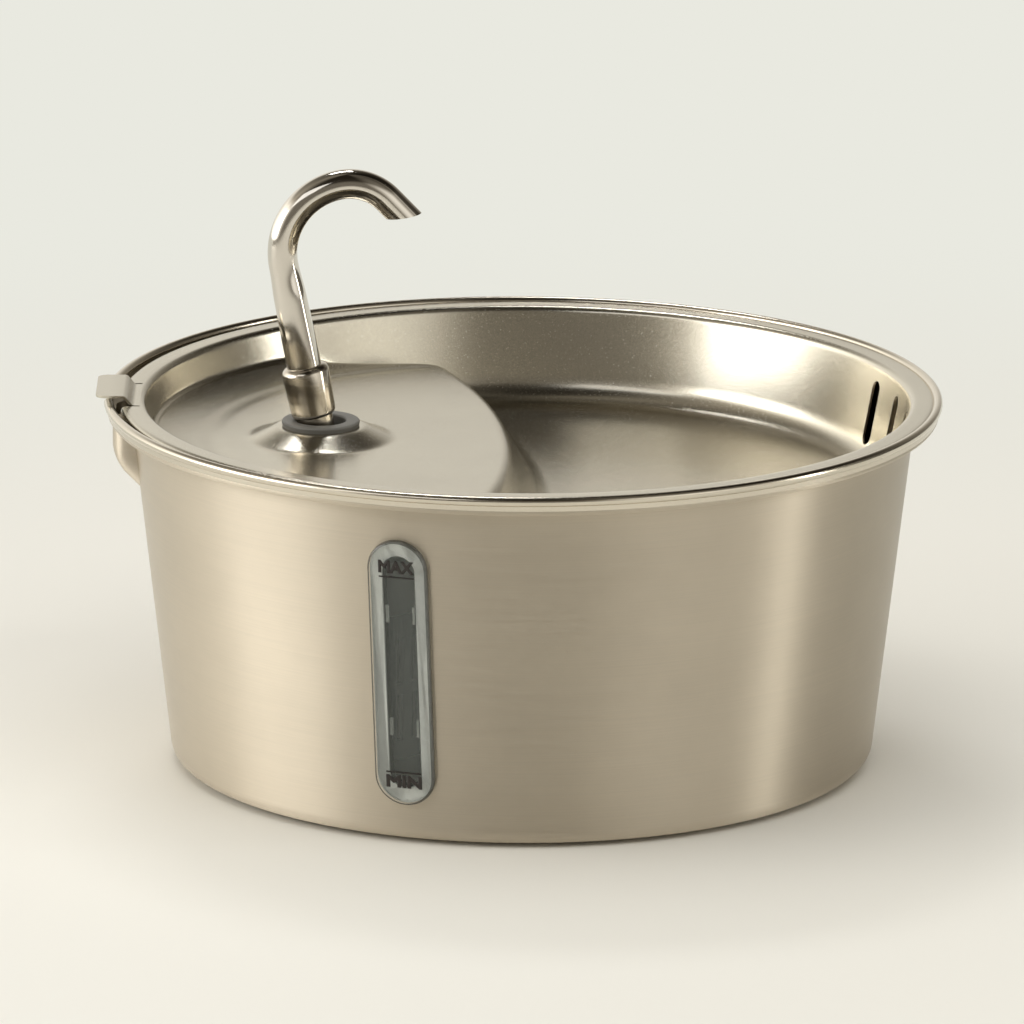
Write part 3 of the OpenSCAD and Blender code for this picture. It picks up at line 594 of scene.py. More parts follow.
@dataclass
class Tray:
    """Pressed tray: flange with a rolled edge, dish, raised platform with the spout's boss, lift tab.

    The sheet is one stamping whose forms run into each other, which extruding and bevelling
    can't give, so its face is worked out ring by ring from the form of the press tool.

    Attributes:
        centre: how far the tray lies from the tub's axis in its rim.
        sheet: thickness of the steel.
        flange: height of the flange.
        skirt: outer radius of the skirt.
        skirt_low: height of its lower edge.
        roll: radius of the rolled edge.
        lip: radius of the lip between flange and dish.
        floor: height of the dish floor.
        wall_foot: radius of the dish wall's line at the height of the floor.
        slope: growth of the dish wall's radius per millimetre of height.
        fillets: radius of the corner of wall and floor, and of wall and platform.
        curl: radius at which the platform starts to curl up to the wall, width and height of the curl.
        plateau: height of the platform.
        front: centre and radius of the platform's front edge.
        side: centre and radius of its long sides.
        corner: radius of its corners.
        crease: centre, radius, half width and depth of the soft ring pressed in the platform.
        valley: radius at which the platform's edge starts to soften, radius and reach where it has.
        boss_x: place of the boss.
        boss_z: height of its top.
        boss_hole: radius of its hole.
        slot: lower end, upper end and width of the drain slots.
        slot_angles: directions of the drain slots, in degrees.
        turn: turn of the lift tab from the X axis, in degrees.
        tab_half: half width of the tab.
        tab_end: place of the tab's end.
        tab_rise: height of the tab's step.
        sides: number of sides of each ring.
    """

    centre: float = 1.3
    sheet: float = 0.7
    flange: float = 108.1
    skirt: float = 119.2
    skirt_low: float = 104.1
    roll: float = 1.5
    lip: float = 2.0
    floor: float = 80.3
    wall_foot: float = 106.2
    slope: float = 0.2
    fillets: tuple[float, float] = (8.0, 2.0)
    curl: tuple[float, float, float] = (94.0, 14.0, 1.5)
    plateau: float = 96.7
    front: tuple[float, float] = (-285.0, 280.0)
    side: tuple[float, float] = (-47.8, 92.4)
    corner: float = 10.0
    crease: tuple[float, float, float, float] = (-6.0, 85.0, 4.0, 0.22)
    valley: tuple[float, float, float] = (86.0, 103.0, 6.0)
    boss_x: float = -59.2
    boss_z: float = 100.3
    boss_hole: float = 8.6
    slot: tuple[float, float, float] = (84.4, 103.2, 5.4)
    slot_angles: tuple[float, ...] = (17.1, 7.3, -2.5, -12.3, -22.1)
    turn: float = -4.0
    tab_half: float = 13.0
    tab_end: float = -124.5
    tab_rise: float = 2.8
    sides: int = 384

    def corner_centre(self) -> tuple[float, float]:
        """Give the centre of the arc that rounds a corner of the platform."""
        near, far = self.front[1] - self.corner, self.side[1] - self.corner
        apart = self.side[0] - self.front[0]
        along_x = (near**2 - far**2 + apart**2) / (2 * apart)
        return self.front[0] + along_x, math.sqrt(near**2 - along_x**2)

    def past_edge(self, x: np.ndarray, y: np.ndarray) -> np.ndarray:
        """Give each point's distance outside the platform's outline, negative inside it."""
        cx, cy = self.corner_centre()
        y = np.abs(y)
        front = np.hypot(x - self.front[0], y) - self.front[1]
        side = np.hypot(x - self.side[0], y) - self.side[1]
        round_off = np.hypot(x - cx, y - cy) - self.corner
        to_front = (cx - self.front[0]) * (y - cy) - cy * (x - cx)
        to_side = (cx - self.side[0]) * (y - cy) - cy * (x - cx)
        in_wedge = (to_front > 0) & (to_side < 0)
        return np.where(in_wedge, round_off, np.maximum(front, side))

    def step(self, past: np.ndarray) -> np.ndarray:
        """Give the height of the platform's edge: a round shoulder, a slope and a hollow foot."""
        shoulder, hollow, run = 3.0, 6.0, 9.5
        a = math.atan((self.plateau - self.floor) / run)
        top = -shoulder * math.tan(a / 2)
        foot = run + hollow * math.tan(a / 2)
        x1, z1 = top + shoulder * math.sin(a), self.plateau - shoulder * (1 - math.cos(a))
        x2, z2 = foot - hollow * math.sin(a), self.floor + hollow * (1 - math.cos(a))
        round_z = self.plateau - shoulder + np.sqrt(np.clip(shoulder**2 - (past - top) ** 2, 0, None))
        slope_z = z1 + (z2 - z1) * (past - x1) / (x2 - x1)
        foot_z = self.floor + hollow - np.sqrt(np.clip(hollow**2 - (foot - past) ** 2, 0, None))
        steps = [past < top, past < x1, past < x2, past < foot]
        return np.select(steps, [self.plateau + 0 * past, round_z, slope_z, foot_z], self.floor)

    def boss(self, x: np.ndarray, y: np.ndarray) -> np.ndarray:
        """Give the rise of the spout's boss over the platform."""
        rise, b, foot, head_r, foot_r = self.boss_z - self.plateau, math.radians(24), 21.0, 3.0, 6.0
        away = np.hypot(x - self.boss_x, y)
        top = foot - rise / math.tan(b) - head_r * math.tan(b / 2)
        low = foot + foot_r * math.tan(b / 2)
        round_z = rise - head_r + np.sqrt(np.clip(head_r**2 - (away - top) ** 2, 0, None))
        foot_z = foot_r - np.sqrt(np.clip(foot_r**2 - (low - away) ** 2, 0, None))
        steps = [away < top, away < top + head_r * math.sin(b), away < low - foot_r * math.sin(b), away < low]
        return np.select(steps, [rise + 0 * away, round_z, (foot - away) * math.tan(b), foot_z], 0.0)

    def height(self, x: np.ndarray, y: np.ndarray) -> np.ndarray:
        """Give the height of the sheet's upper face inside the lip.

        Args:
            x: places along X.
            y: places along Y.

        Returns:
            The height at each place.
        """
        r = np.hypot(x - self.centre, y)
        ground = self.step(self.past_edge(x, y))
        share = (ground - self.floor) / (self.plateau - self.floor)
        start, width, lift = self.curl
        ground = ground + share * lift * np.clip((r - start) / width, 0, 1) ** 2
        cx, radius, half, depth = self.crease
        groove = np.clip(1 - ((np.hypot(x - cx, y) - radius) / half) ** 2, 0, 1) ** 2
        ground = ground + np.where(share > 0.999, self.boss(x, y) - depth * groove * (x < -22), 0)
        fillet = self.fillets[0] + (self.fillets[1] - self.fillets[0]) * np.clip(share, 0, 1)
        lean = math.atan(self.slope)
        middle_z = ground + fillet
        middle_r = self.wall_foot + self.slope * (middle_z - self.floor) - fillet / math.cos(lean)
        arc_z = middle_z - np.sqrt(np.clip(fillet**2 - (r - middle_r) ** 2, 0, None))
        wall_z = self.floor + (r - self.wall_foot) / self.slope
        return np.select([r < middle_r, r < middle_r + fillet * math.cos(lean)], [ground, arc_z], wall_z)

    def soften(self, z: np.ndarray, r: float) -> np.ndarray:
        """Blend a ring's heights round the tray, so that the platform's edge runs softly into the wall.

        Args:
            z: height of each point of the ring.
            r: radius of the ring.

        Returns:
            The blended heights.
        """
        start, full, reach = self.valley
        share = min(max((r - start) / (full - start), 0.0), 1.0)
        sigma = reach * share * share * (3 - 2 * share) / (r * 2 * math.pi / self.sides)
        if sigma < 0.3:
            return z
        offset = np.arange(self.sides)
        offset = np.minimum(offset, self.sides - offset)
        kernel = np.exp(-0.5 * (offset / sigma) ** 2)
        return np.real(np.fft.ifft(np.fft.fft(z) * np.fft.fft(kernel / kernel.sum())))

    def rim(self) -> Profile:
        """Give the profile from the top of the dish wall over lip, flange and roll to the skirt."""
        lean = math.degrees(math.atan(self.slope))
        knee_z = self.flange - self.lip + self.lip * math.sin(math.radians(lean))
        knee = self.wall_foot + self.slope * (knee_z - self.floor)
        centre = (knee + self.lip * math.cos(math.radians(lean)), self.flange - self.lip)
        edge = (self.skirt - self.roll, self.flange - self.roll)
        flat = [(centre[0] + (edge[0] - centre[0]) * t, self.flange) for t in (0.3, 0.7)]
        skirt = [(self.skirt, z) for z in (105.8, 105.0, self.skirt_low)]
        return arc(*centre, self.lip, 180 - lean, 90, 7) + flat + arc(*edge, self.roll, 90, 0, 7) + skirt

    def rings(self) -> np.ndarray:
        """Work out the upper face, as rings of points from the middle outwards.

        Returns:
            An array of rings by sides by three coordinates, in millimetres.
        """
        rim = self.rim()
        # finer steps where the platform and the floor turn up into the wall
        spans = ((0.9, 98.1, 109), (98.7, 107.6, 22), (107.75, rim[0][0] - 0.15, 24))
        radii = [r for span in spans for r in np.linspace(*span)]
        angles = np.arange(self.sides) * 2 * math.pi / self.sides
        rows = []
        for r in radii:
            x, y = self.centre + r * np.cos(angles), r * np.sin(angles)
            rows.append(np.stack([x, y, self.soften(self.height(x, y), r)], 1))
        for r, z in rim:
            x, y = self.centre + r * np.cos(angles), r * np.sin(angles)
            rows.append(np.stack([x, y, 0 * x + z], 1))
        return np.array(rows)

    def build_sheet(self) -> Piece:
        """Make the closed sheet: the upper face, a coarser lower face and the skirt's edge."""
        upper = self.rings()
        outward = np.gradient(upper, axis=0)
        around = np.roll(upper, -1, 1) - np.roll(upper, 1, 1)
        normal = np.cross(outward, around)
        normal /= np.linalg.norm(normal, axis=2)[..., None]
        picked = sorted({*range(1, 131, 3), *range(131, len(upper), 2), len(upper) - 1})
        lower = (upper - self.sheet * normal)[picked][:, ::2]
        n, m = self.sides, self.sides // 2
        middle = [[self.centre, 0, z] for z in (self.floor, self.floor - self.sheet)]
        points = np.vstack([upper.reshape(-1, 3), lower.reshape(-1, 3), middle])
        base = len(upper) * n
        pole = base + len(lower) * m
        faces = [(pole, j, (j + 1) % n) for j in range(n)]
        faces += [(pole + 1, base + (j + 1) % m, base + j) for j in range(m)]
        for i in range(len(upper) - 1):
            for j in range(n):
                a, b, k = i * n, (i + 1) * n, (j + 1) % n
                faces.append((a + j, b + j, b + k, a + k))
        for i in range(len(lower) - 1):
            for j in range(m):
                a, b, k = base + i * m, base + (i + 1) * m, (j + 1) % m
                faces.append((a + j, a + k, b + k, b + j))
        last, under = (len(upper) - 1) * n, base + (len(lower) - 1) * m
        for j in range(m):
            far = last + (2 * j + 2) % n
            faces.append((far, last + 2 * j + 1, last + 2 * j, under + j, under + (j + 1) % m))
        mesh = bpy.data.meshes.new("pressed_tray")
        mesh.from_pydata((points * MM).tolist(), [], faces)
        mesh.update()
        piece = bpy.data.objects.new("pressed_tray", mesh)
        bpy.context.collection.objects.link(piece)
        return piece

    def build_tab(self) -> Piece:
        """Model the lift tab: a strip drawn out of the flange, stepped up and cut with round corners."""
        deselect()
        root, blend = 112.5, 10
        middle = self.flange - self.sheet / 2
        bpy.ops.mesh.primitive_plane_add(size=1.0, location=(-root * MM, 0, middle * MM))
        piece = bpy.context.object
        piece.name = "lift_tab"
        piece.scale = (1.8 * MM, 2 * self.tab_half * MM, 1)
        bpy.ops.object.transform_apply(location=True, rotation=True, scale=True)
        edit(piece)
        pick(piece, "EDGE", lambda e: all(v.co.x < -0.1133 for v in e.verts))
        rises = [self.tab_rise * (3 - 2 * t / blend) * (t / blend) ** 2 for t in range(blend + 1)]
        steps = [(-0.32, high - low) for low, high in zip(rises, rises[1:])]
        for dx, dz in (*steps, (-4.0, 0), (self.tab_end + 120.6, 0)):
            extrude(dx * MM, 0, dz * MM)
        pick(piece, "VERT", lambda v: v.co.x < (self.tab_end + 0.2) * MM)
        bpy.ops.mesh.bevel(offset=3 * MM, segments=8, affect="VERTICES")
        face_outwards()
        return thicken(piece, self.sheet, 0.0)

    def build(self) -> Piece:
        """Make the tray and cut its holes.

        Returns:
            The tray with boss hole, drain slots, slits and lift tab.
        """
        piece = self.build_sheet()
        turn = turn_by(self.turn)
        hole = turned("hole", [(self.boss_hole, 90), (self.boss_hole, 110)], 96)
        carve(piece, placed(hole, move_by(self.boss_x, 0, 0)))
        low, high, width = self.slot
        for angle in self.slot_angles:
            place = move_by(self.centre, 0, (low + high) / 2) @ turn_by(angle)
            carve(piece, placed(bar("slot", high - low, width, 97, 116), place))
        gap = block("gap", (-140, -self.tab_half - 1, 100), (-113.0, self.tab_half + 1, 112))
        carve(piece, placed(gap, turn))
        for side in (-1, 1):
            y = side * (self.tab_half + 0.5)
            slit = block("slit", (-140, y - 0.5, 103), (-111.6, y + 0.5, 112))
            carve(piece, placed(slit, turn))
        carve(piece, placed(self.build_tab(), turn), "UNION")
        return smooth(piece, 32)


# ---------------------------------------------------------------- spout


@dataclass
class Spout:
    """Gooseneck spout, its stem with collar, and the silicone grommet that holds them in the boss.

    Attributes:
        foot: point on the turning axis where the stem starts.
        lean: lean of the stem, in degrees; negative leans towards the tab.
        boss: place of the boss's middle along X and height of its top.
        stem: radius of the stem, its lower and its upper end.
        collar: lower and upper end of the collar along the stem.
        bore: radius of the stem's bore.
        rise: heights along the stem of the tube's end, its neck and its bend.
        radii: outer radius of the tube at its end, at its neck and from the bend on.
        bend: radius of the quarter bend and of the drop bend.
        turn: angle of the quarter bend and of the drop bend, in degrees.
        tail: straight length before the middle of the mouth.
        cut: angle by which the mouth's cut is off the level across the stem, in degrees.
        wall: thickness of the tube.
        seal: radius of the seal ring, of its section, and its height along the stem.
    """

    foot: tuple[float, float, float] = (-55.0, 0.0, 72.4)
    lean: float = -11.2
    boss: tuple[float, float] = (-59.2, 100.3)
    stem: tuple[float, float, float] = (5.3, 3.0, 36.7)
    collar: tuple[float, float] = (31.6, 46.8)
    bore: float = 3.7
    rise: tuple[float, float, float] = (37.2, 66.6, 77.2)
    radii: tuple[float, float, float] = (5.1, 4.85, 4.35)
    bend: tuple[float, float] = (20.4, 15.5)
    turn: tuple[float, float] = (90.0, 57.48)
    tail: float = 6.6
    cut: float = 2.5
    wall: float = 0.7
    seal: tuple[float, float, float] = (4.67, 0.45, 40.0)

    def on_stem(self) -> Matrix:
        """Give the stem's place: Z along the leaning stem."""
        return move_by(*self.foot) @ turn_by(self.lean, "Y")

    def build_tube(self) -> Piece:
        """Model the tube: a drawn foot and neck, a quarter bend, the drop bend and the cut mouth.

        Returns:
            The hollow tube.
        """
        deselect()
        low, neck, start = self.rise
        wide, mid, thin = self.radii
        bpy.ops.mesh.primitive_circle_add(vertices=64, radius=wide * MM, location=(0, 0, low * MM))
        piece = bpy.context.object
        piece.name = "spout_bent_tube"
        bpy.ops.object.transform_apply(location=True, rotation=True, scale=True)
        edit(piece)
        stops = [(low + 8, wide), (low + 18, wide - 0.08), (neck, mid)]
        for t in (i / 8 for i in range(1, 9)):
            stops.append((neck + (start - neck) * t, mid + (thin - mid) * (3 - 2 * t) * t * t))
        height, radius = low, wide
        for z, r in stops:
            extrude(0, 0, (z - height) * MM)
            widen(r / radius, z)
            height, radius = z, r
        for size, angle, middle_z in zip(self.bend, self.turn, (start, start + self.bend[0] - self.bend[1])):
            bpy.ops.mesh.spin(
                steps=round(angle / 3.2),
                angle=math.radians(angle),
                center=(self.bend[0] * MM, 0, middle_z * MM),
                axis=(0, -1, 0),
            )
        way = math.radians(180 - sum(self.turn))
        ahead = Vector((math.sin(way), 0, -math.cos(way)))
        extrude(*(ahead * (self.tail + 8) * MM))
        face_outwards()
        thicken(piece, self.wall, -1.0)
        across, drop = self.bend
        end = Vector((across + drop * math.cos(way), 0, middle_z + drop * math.sin(way)))
        mouth = move_by(*(end + ahead * self.tail)) @ turn_by(self.cut, "Y")
        carve(piece, placed(block("cut", (-20, -20, -30), (20, 20, 0)), mouth))
        ring, section, z = self.seal
        outer, inner, half = wide + 1, ring - section - 0.02, 0.8
        groove = [(outer, z - half), (outer, z + half), (inner, z + half), (inner, z - half)]
        carve(piece, turned("groove", groove, 64, True))
        return smooth(placed(piece, self.on_stem()), 32)

    def build_collar(self) -> Piece:
        """Model the turned collar with a round lower lip, a slight taper and a domed top."""
        low, high = self.collar
        bore = self.radii[0] + 0.08
        seat, step = self.stem[0] + 0.03, low + 5.2
        points = [(bore, high), (bore, step), (seat, step), (seat, low)]
        points += arc(self.stem[0] - 0.05, low + 1.3, 1.3, -80, 0, 8)
        points += arc(4.65, high - 2.3, 2.3, 8, 84, 14)
        piece = turned("spout_lock_collar", points, 96, True)
        return placed(piece, self.on_stem())

    def build_stem(self) -> Piece:
        """Model the stem tube under the collar."""
        radius, low, high = self.stem
        rim = 0.25
        points = [(radius - rim, low), (radius, low + rim), (radius, high - rim), (radius - rim, high)]
        bore = self.bore
        points += [(bore + rim, high), (bore, high - rim), (bore, low + rim), (bore + rim, low)]
        return placed(turned("spout_stem_tube", points, 64, True), self.on_stem())

    def build_seal(self) -> Piece:
        """Model the seal ring in its groove."""
        ring, section, z = self.seal
        return placed(turned("spout_seal_ring", arc(ring, z, section, 0, 340, 17), 64, True), self.on_stem())

    def build_grommet(self) -> Piece:
        """Model the grommet: a soft ring on the boss, a neck in its hole and a lip below the sheet."""
        x, top = self.boss
        points = [(7.25, -2.2), (10.4, -2.2), (10.4, -0.75), (8.55, -0.75), (8.55, 0.02), (11.2, 0.02)]
        points += arc(10.8, 1.1, 0.6, -20, 90, 8) + arc(7.95, 1.0, 0.7, 90, 180, 6)
        piece = turned("boss_grommet", [(r, top + z) for r, z in points], 128, True)
        return placed(piece, move_by(x, 0, 0))


# ---------------------------------------------------------------- works under the tray


@dataclass
class Works:
    """Filter case, cartridge, pump and their fixings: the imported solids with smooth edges.

    Attributes:
        frame: the loaded frame.
        angle: edges sharper than this stay sharp, in degrees.
    """

    frame: dict
    angle: float = 30.0

    def copy_of(self, node: str) -> Piece:
        """Copy one node's mesh, merge its loose triangles and shade it smooth.

        Args:
            node: name of the node.

        Returns:
            The copy.
        """
        piece = bpy.data.objects.new(node + "_form", self.frame["nodes"][node].data.copy())
        bpy.context.collection.objects.link(piece)
        edit(piece)
        bpy.ops.mesh.remove_doubles(threshold=1e-6)
        deselect()
        return smooth(piece, self.angle)


# ---------------------------------------------------------------- finishes


class Finish(Enum):
    """The finishes of the fountain, by the record's material slots, and four for parts of a piece."""

    TUB = "tub_steel"
    TRAY = "tray_steel"
    SPOUT = "spout_steel"
    FITTING = "fitting_steel"
    SCREW = "screw_steel"
    PAD = "pad_rubber"
    GASKET = "gasket_silicone"
    GROMMET = "grommet_silicone"
    CLEAR_SILICONE = "clear_silicone"
    LENS = "lens_clear"
    FRAME = "frame_plastic"
    CASE = "case_plastic"
    PUMP = "pump_plastic"
    CAP = "cap_plastic"
    IMPELLER = "impeller_plastic"
    SPONGE = "sponge_foam"
    FLEECE = "fleece_felt"
    CARBON = "carbon_granules"
    MAGNET = "magnet_ferrite"
    CERAMIC = "shaft_ceramic"
    BUSH = "bush_rubber"
    CORE = "core_steel"
    COIL = "coil_copper"
    RIM = "rim"
    EDGE = "edge"
    CLIP = "clip"
    INK = "ink"


class Lay(Enum):
    """The way in which a metal's scratches run."""

    ROUND_WALL = "round an upright wall"
    ROUND_DISC = "round the middle of a disc"
    NONE = "no direction, as after a tumble or bead blast"


def new_material(name: str) -> tuple[Material, Tree, bpy.types.Node, Socket]:
    """Start a material with its shader, its output and object coordinates.

    Args:
        name: name of the material.

    Returns:
        The material, its tree, its Principled shader and the socket of the place.
    """
    material = bpy.data.materials.new(name)
    material.use_nodes = True
    tree = material.node_tree
    tree.nodes.clear()
    shader = add_node(tree, "BsdfPrincipled")
    add_node(tree, "OutputMaterial", {"Surface": shader.outputs[0]})
    where = add_node(tree, "TexCoord")
    return material, tree, shader, where.outputs["Object"]


def mixed(tree: Tree, amount: Socket, low: Colour, high: Colour) -> Socket:
    """Blend two colours by the value of a noise texture."""
    spread = add_node(tree, "MapRange", {"Value": amount, **NOISE})
    mix = add_node(tree, "Mix", {0: spread.outputs[0], 6: low, 7: high}, data_type="RGBA")
    return mix.outputs[2]


def times(tree: Tree, one: Socket, other: Socket | Colour) -> Socket:
    """Multiply two colours."""
    links = {0: 1.0, 6: one, 7: other}
    return add_node(tree, "Mix", links, data_type="RGBA", blend_type="MULTIPLY").outputs[2]


def dent(tree: Tree, shader: bpy.types.Node, marks: bpy.types.Node, depth: float) -> None:
    """Let a texture dent a material's surface, by a depth in millimetres."""
    bump = {"Height": marks.outputs[0], "Strength": 1.0, "Distance": depth * MM}
    tree.links.new(add_node(tree, "Bump", bump).outputs[0], shader.inputs["Normal"])


@dataclass(frozen=True)
class Steel:
    """Stainless sheet, tube or turned part with the marks of its last tool.

    Attributes:
        name: name of the material.
        tint: sRGB colour of the metal.
        lay: the way in which the scratches run.
        rough: mean roughness.
        line_mm: width of a scratch or size of a bead's dent.
        depth: height of the marks, in millimetres.
        tone: how far the marks lighten and darken the colour.
        spread: how far the roughness varies.
        smear: how much the scratches smear a reflection across themselves.
    """

    name: str
    tint: str
    lay: Lay = Lay.NONE
    rough: float = 0.3
    line_mm: float = 0.3
    depth: float = 0.003
    tone: float = 0.06
    spread: float = 0.12
    smear: float = 0.0

    def make(self) -> Material:
        """Build the material.

        Returns:
            The material: coloured metal whose roughness and bump follow its marks.
        """
        material, tree, shader, place = new_material(self.name)
        shader.inputs["Metallic"].default_value = 1.0
        shader.inputs["Anisotropic"].default_value = self.smear
        across = 1 / (self.line_mm * MM)
        apart = add_node(tree, "SeparateXYZ", {0: place})
        flat = add_node(tree, "CombineXYZ", {0: apart.outputs[0], 1: apart.outputs[1]})
        unit = add_node(tree, "VectorMath", {0: flat.outputs[0]}, operation="NORMALIZE")
        length = add_node(tree, "VectorMath", {0: flat.outputs[0]}, operation="LENGTH")
        level = {Lay.ROUND_WALL: apart.outputs[2], Lay.ROUND_DISC: length.outputs[1]}.get(self.lay)
        if level is None:
            vector = add_node(tree, "Mapping", {"Vector": place, "Scale": (across, across, across)})
        else:
            fine = add_node(tree, "Math", {0: level, 1: across}, operation="MULTIPLY")
            ring = add_node(tree, "VectorMath", {0: unit.outputs[0], "Scale": 2.4}, operation="SCALE")
            lift = add_node(tree, "CombineXYZ", {2: fine.outputs[0]})
            vector = add_node(tree, "VectorMath", {0: ring.outputs[0], 1: lift.outputs[0]})
        marks = {"Vector": vector.outputs[0], "Scale": 1.0, "Detail": 3.0, "Roughness": 0.65}
        marks = add_node(tree, "TexNoise", marks)
        cloud = {"Vector": place, "Scale": 26.0, "Detail": 4.0, "Roughness": 0.55}
        cloud = add_node(tree, "TexNoise", cloud)
        tone = mixed(tree, cloud.outputs[0], shade(self.tint, 0.96), shade(self.tint, 1.03))
        lines = mixed(tree, marks.outputs[0], shade("FFFFFF", 1 - self.tone), shade("FFFFFF", 1.0))
        tree.links.new(times(tree, tone, lines), shader.inputs["Base Color"])
        low, high = self.rough * (1 - self.spread), self.rough * (1 + self.spread)
        rough = {"Value": marks.outputs[0], **NOISE, "To Min": low, "To Max": high}
        rough = add_node(tree, "MapRange", rough)
        tree.links.new(rough.outputs[0], shader.inputs["Roughness"])
        dent(tree, shader, marks, self.depth)
        if self.smear:
            up = add_node(tree, "CombineXYZ", {2: 1.0})
            smeared = up if self.lay is Lay.ROUND_WALL else unit
            tree.links.new(smeared.outputs[0], shader.inputs["Tangent"])
        return material


@dataclass(frozen=True)
class Clear:
    """Clear moulded plastic plate: glossy, faintly tinted, denser to the eye along its rounded rim.

    Attributes:
        name: name of the material.
        tint: sRGB colour.
        rough: roughness.
        seen: share of the surface's own colour where it is seen square on, and along its edge.
        ior: refractive index.
    """

    name: str
    tint: str
    rough: float
    seen: tuple[float, float]
    ior: float

    def make(self) -> Material:
        """Build the material.

        Returns:
            The material: see-through, with a faint moulding wave in its gloss.
        """
        material, tree, shader, place = new_material(self.name)
        shader.inputs["Base Color"].default_value = srgb(self.tint)
        shader.inputs["IOR"].default_value = self.ior
        shader.inputs["Roughness"].default_value = self.rough
        wave = add_node(tree, "TexNoise", {"Vector": place, "Scale": 180.0, "Detail": 1.0})
        dent(tree, shader, wave, 0.002)
        facing = add_node(tree, "LayerWeight", {"Blend": 0.5})
        edge = {"Value": facing.outputs["Facing"], "To Min": self.seen[0], "To Max": self.seen[1]}
        edge = add_node(tree, "MapRange", edge)
        tree.links.new(edge.outputs[0], shader.inputs["Alpha"])
        return material


@dataclass(frozen=True)
class Moulded:
    """Moulded plastic, rubber, felt, foam and the like, with a fine grain.

    Attributes:
        name: name of the material.
        tint: sRGB colour.
        rough: mean roughness.
        grain_mm: size of one grain of the surface.
        depth: height of the grain, in millimetres.
        metallic: 1 for a metal.
        sheen: strength of the soft edge light of a fibre surface.
        clear: how much light passes straight through.
        ior: refractive index.
    """

    name: str
    tint: str
    rough: float = 0.5
    grain_mm: float = 0.4
    depth: float = 0.01
    metallic: float = 0.0
    sheen: float = 0.0
    clear: float = 0.0
    ior: float = 1.5

    def make(self) -> Material:
        """Build the material.

        Returns:
            The material, its colour and roughness a little clouded and its grain as bump.
        """
        material, tree, shader, place = new_material(self.name)
        shader.inputs["Metallic"].default_value = self.metallic
        shader.inputs["Sheen Weight"].default_value = self.sheen
        shader.inputs["Transmission Weight"].default_value = self.clear
        shader.inputs["IOR"].default_value = self.ior
        grain = {"Vector": place, "Scale": 1 / (self.grain_mm * MM), "Detail": 2.0}
        grain = add_node(tree, "TexNoise", grain)
        cloud = add_node(tree, "TexNoise", {"Vector": place, "Scale": 60.0, "Detail": 3.0})
        tone = mixed(tree, cloud.outputs[0], shade(self.tint, 0.9), shade(self.tint, 1.08))
        tree.links.new(tone, shader.inputs["Base Color"])
        low, high = self.rough * 0.85, min(1.0, self.rough * 1.15)
        rough = add_node(tree, "MapRange", {"Value": cloud.outputs[0], "To Min": low, "To Max": high})
        tree.links.new(rough.outputs[0], shader.inputs["Roughness"])
        dent(tree, shader, grain, self.depth)
        return material


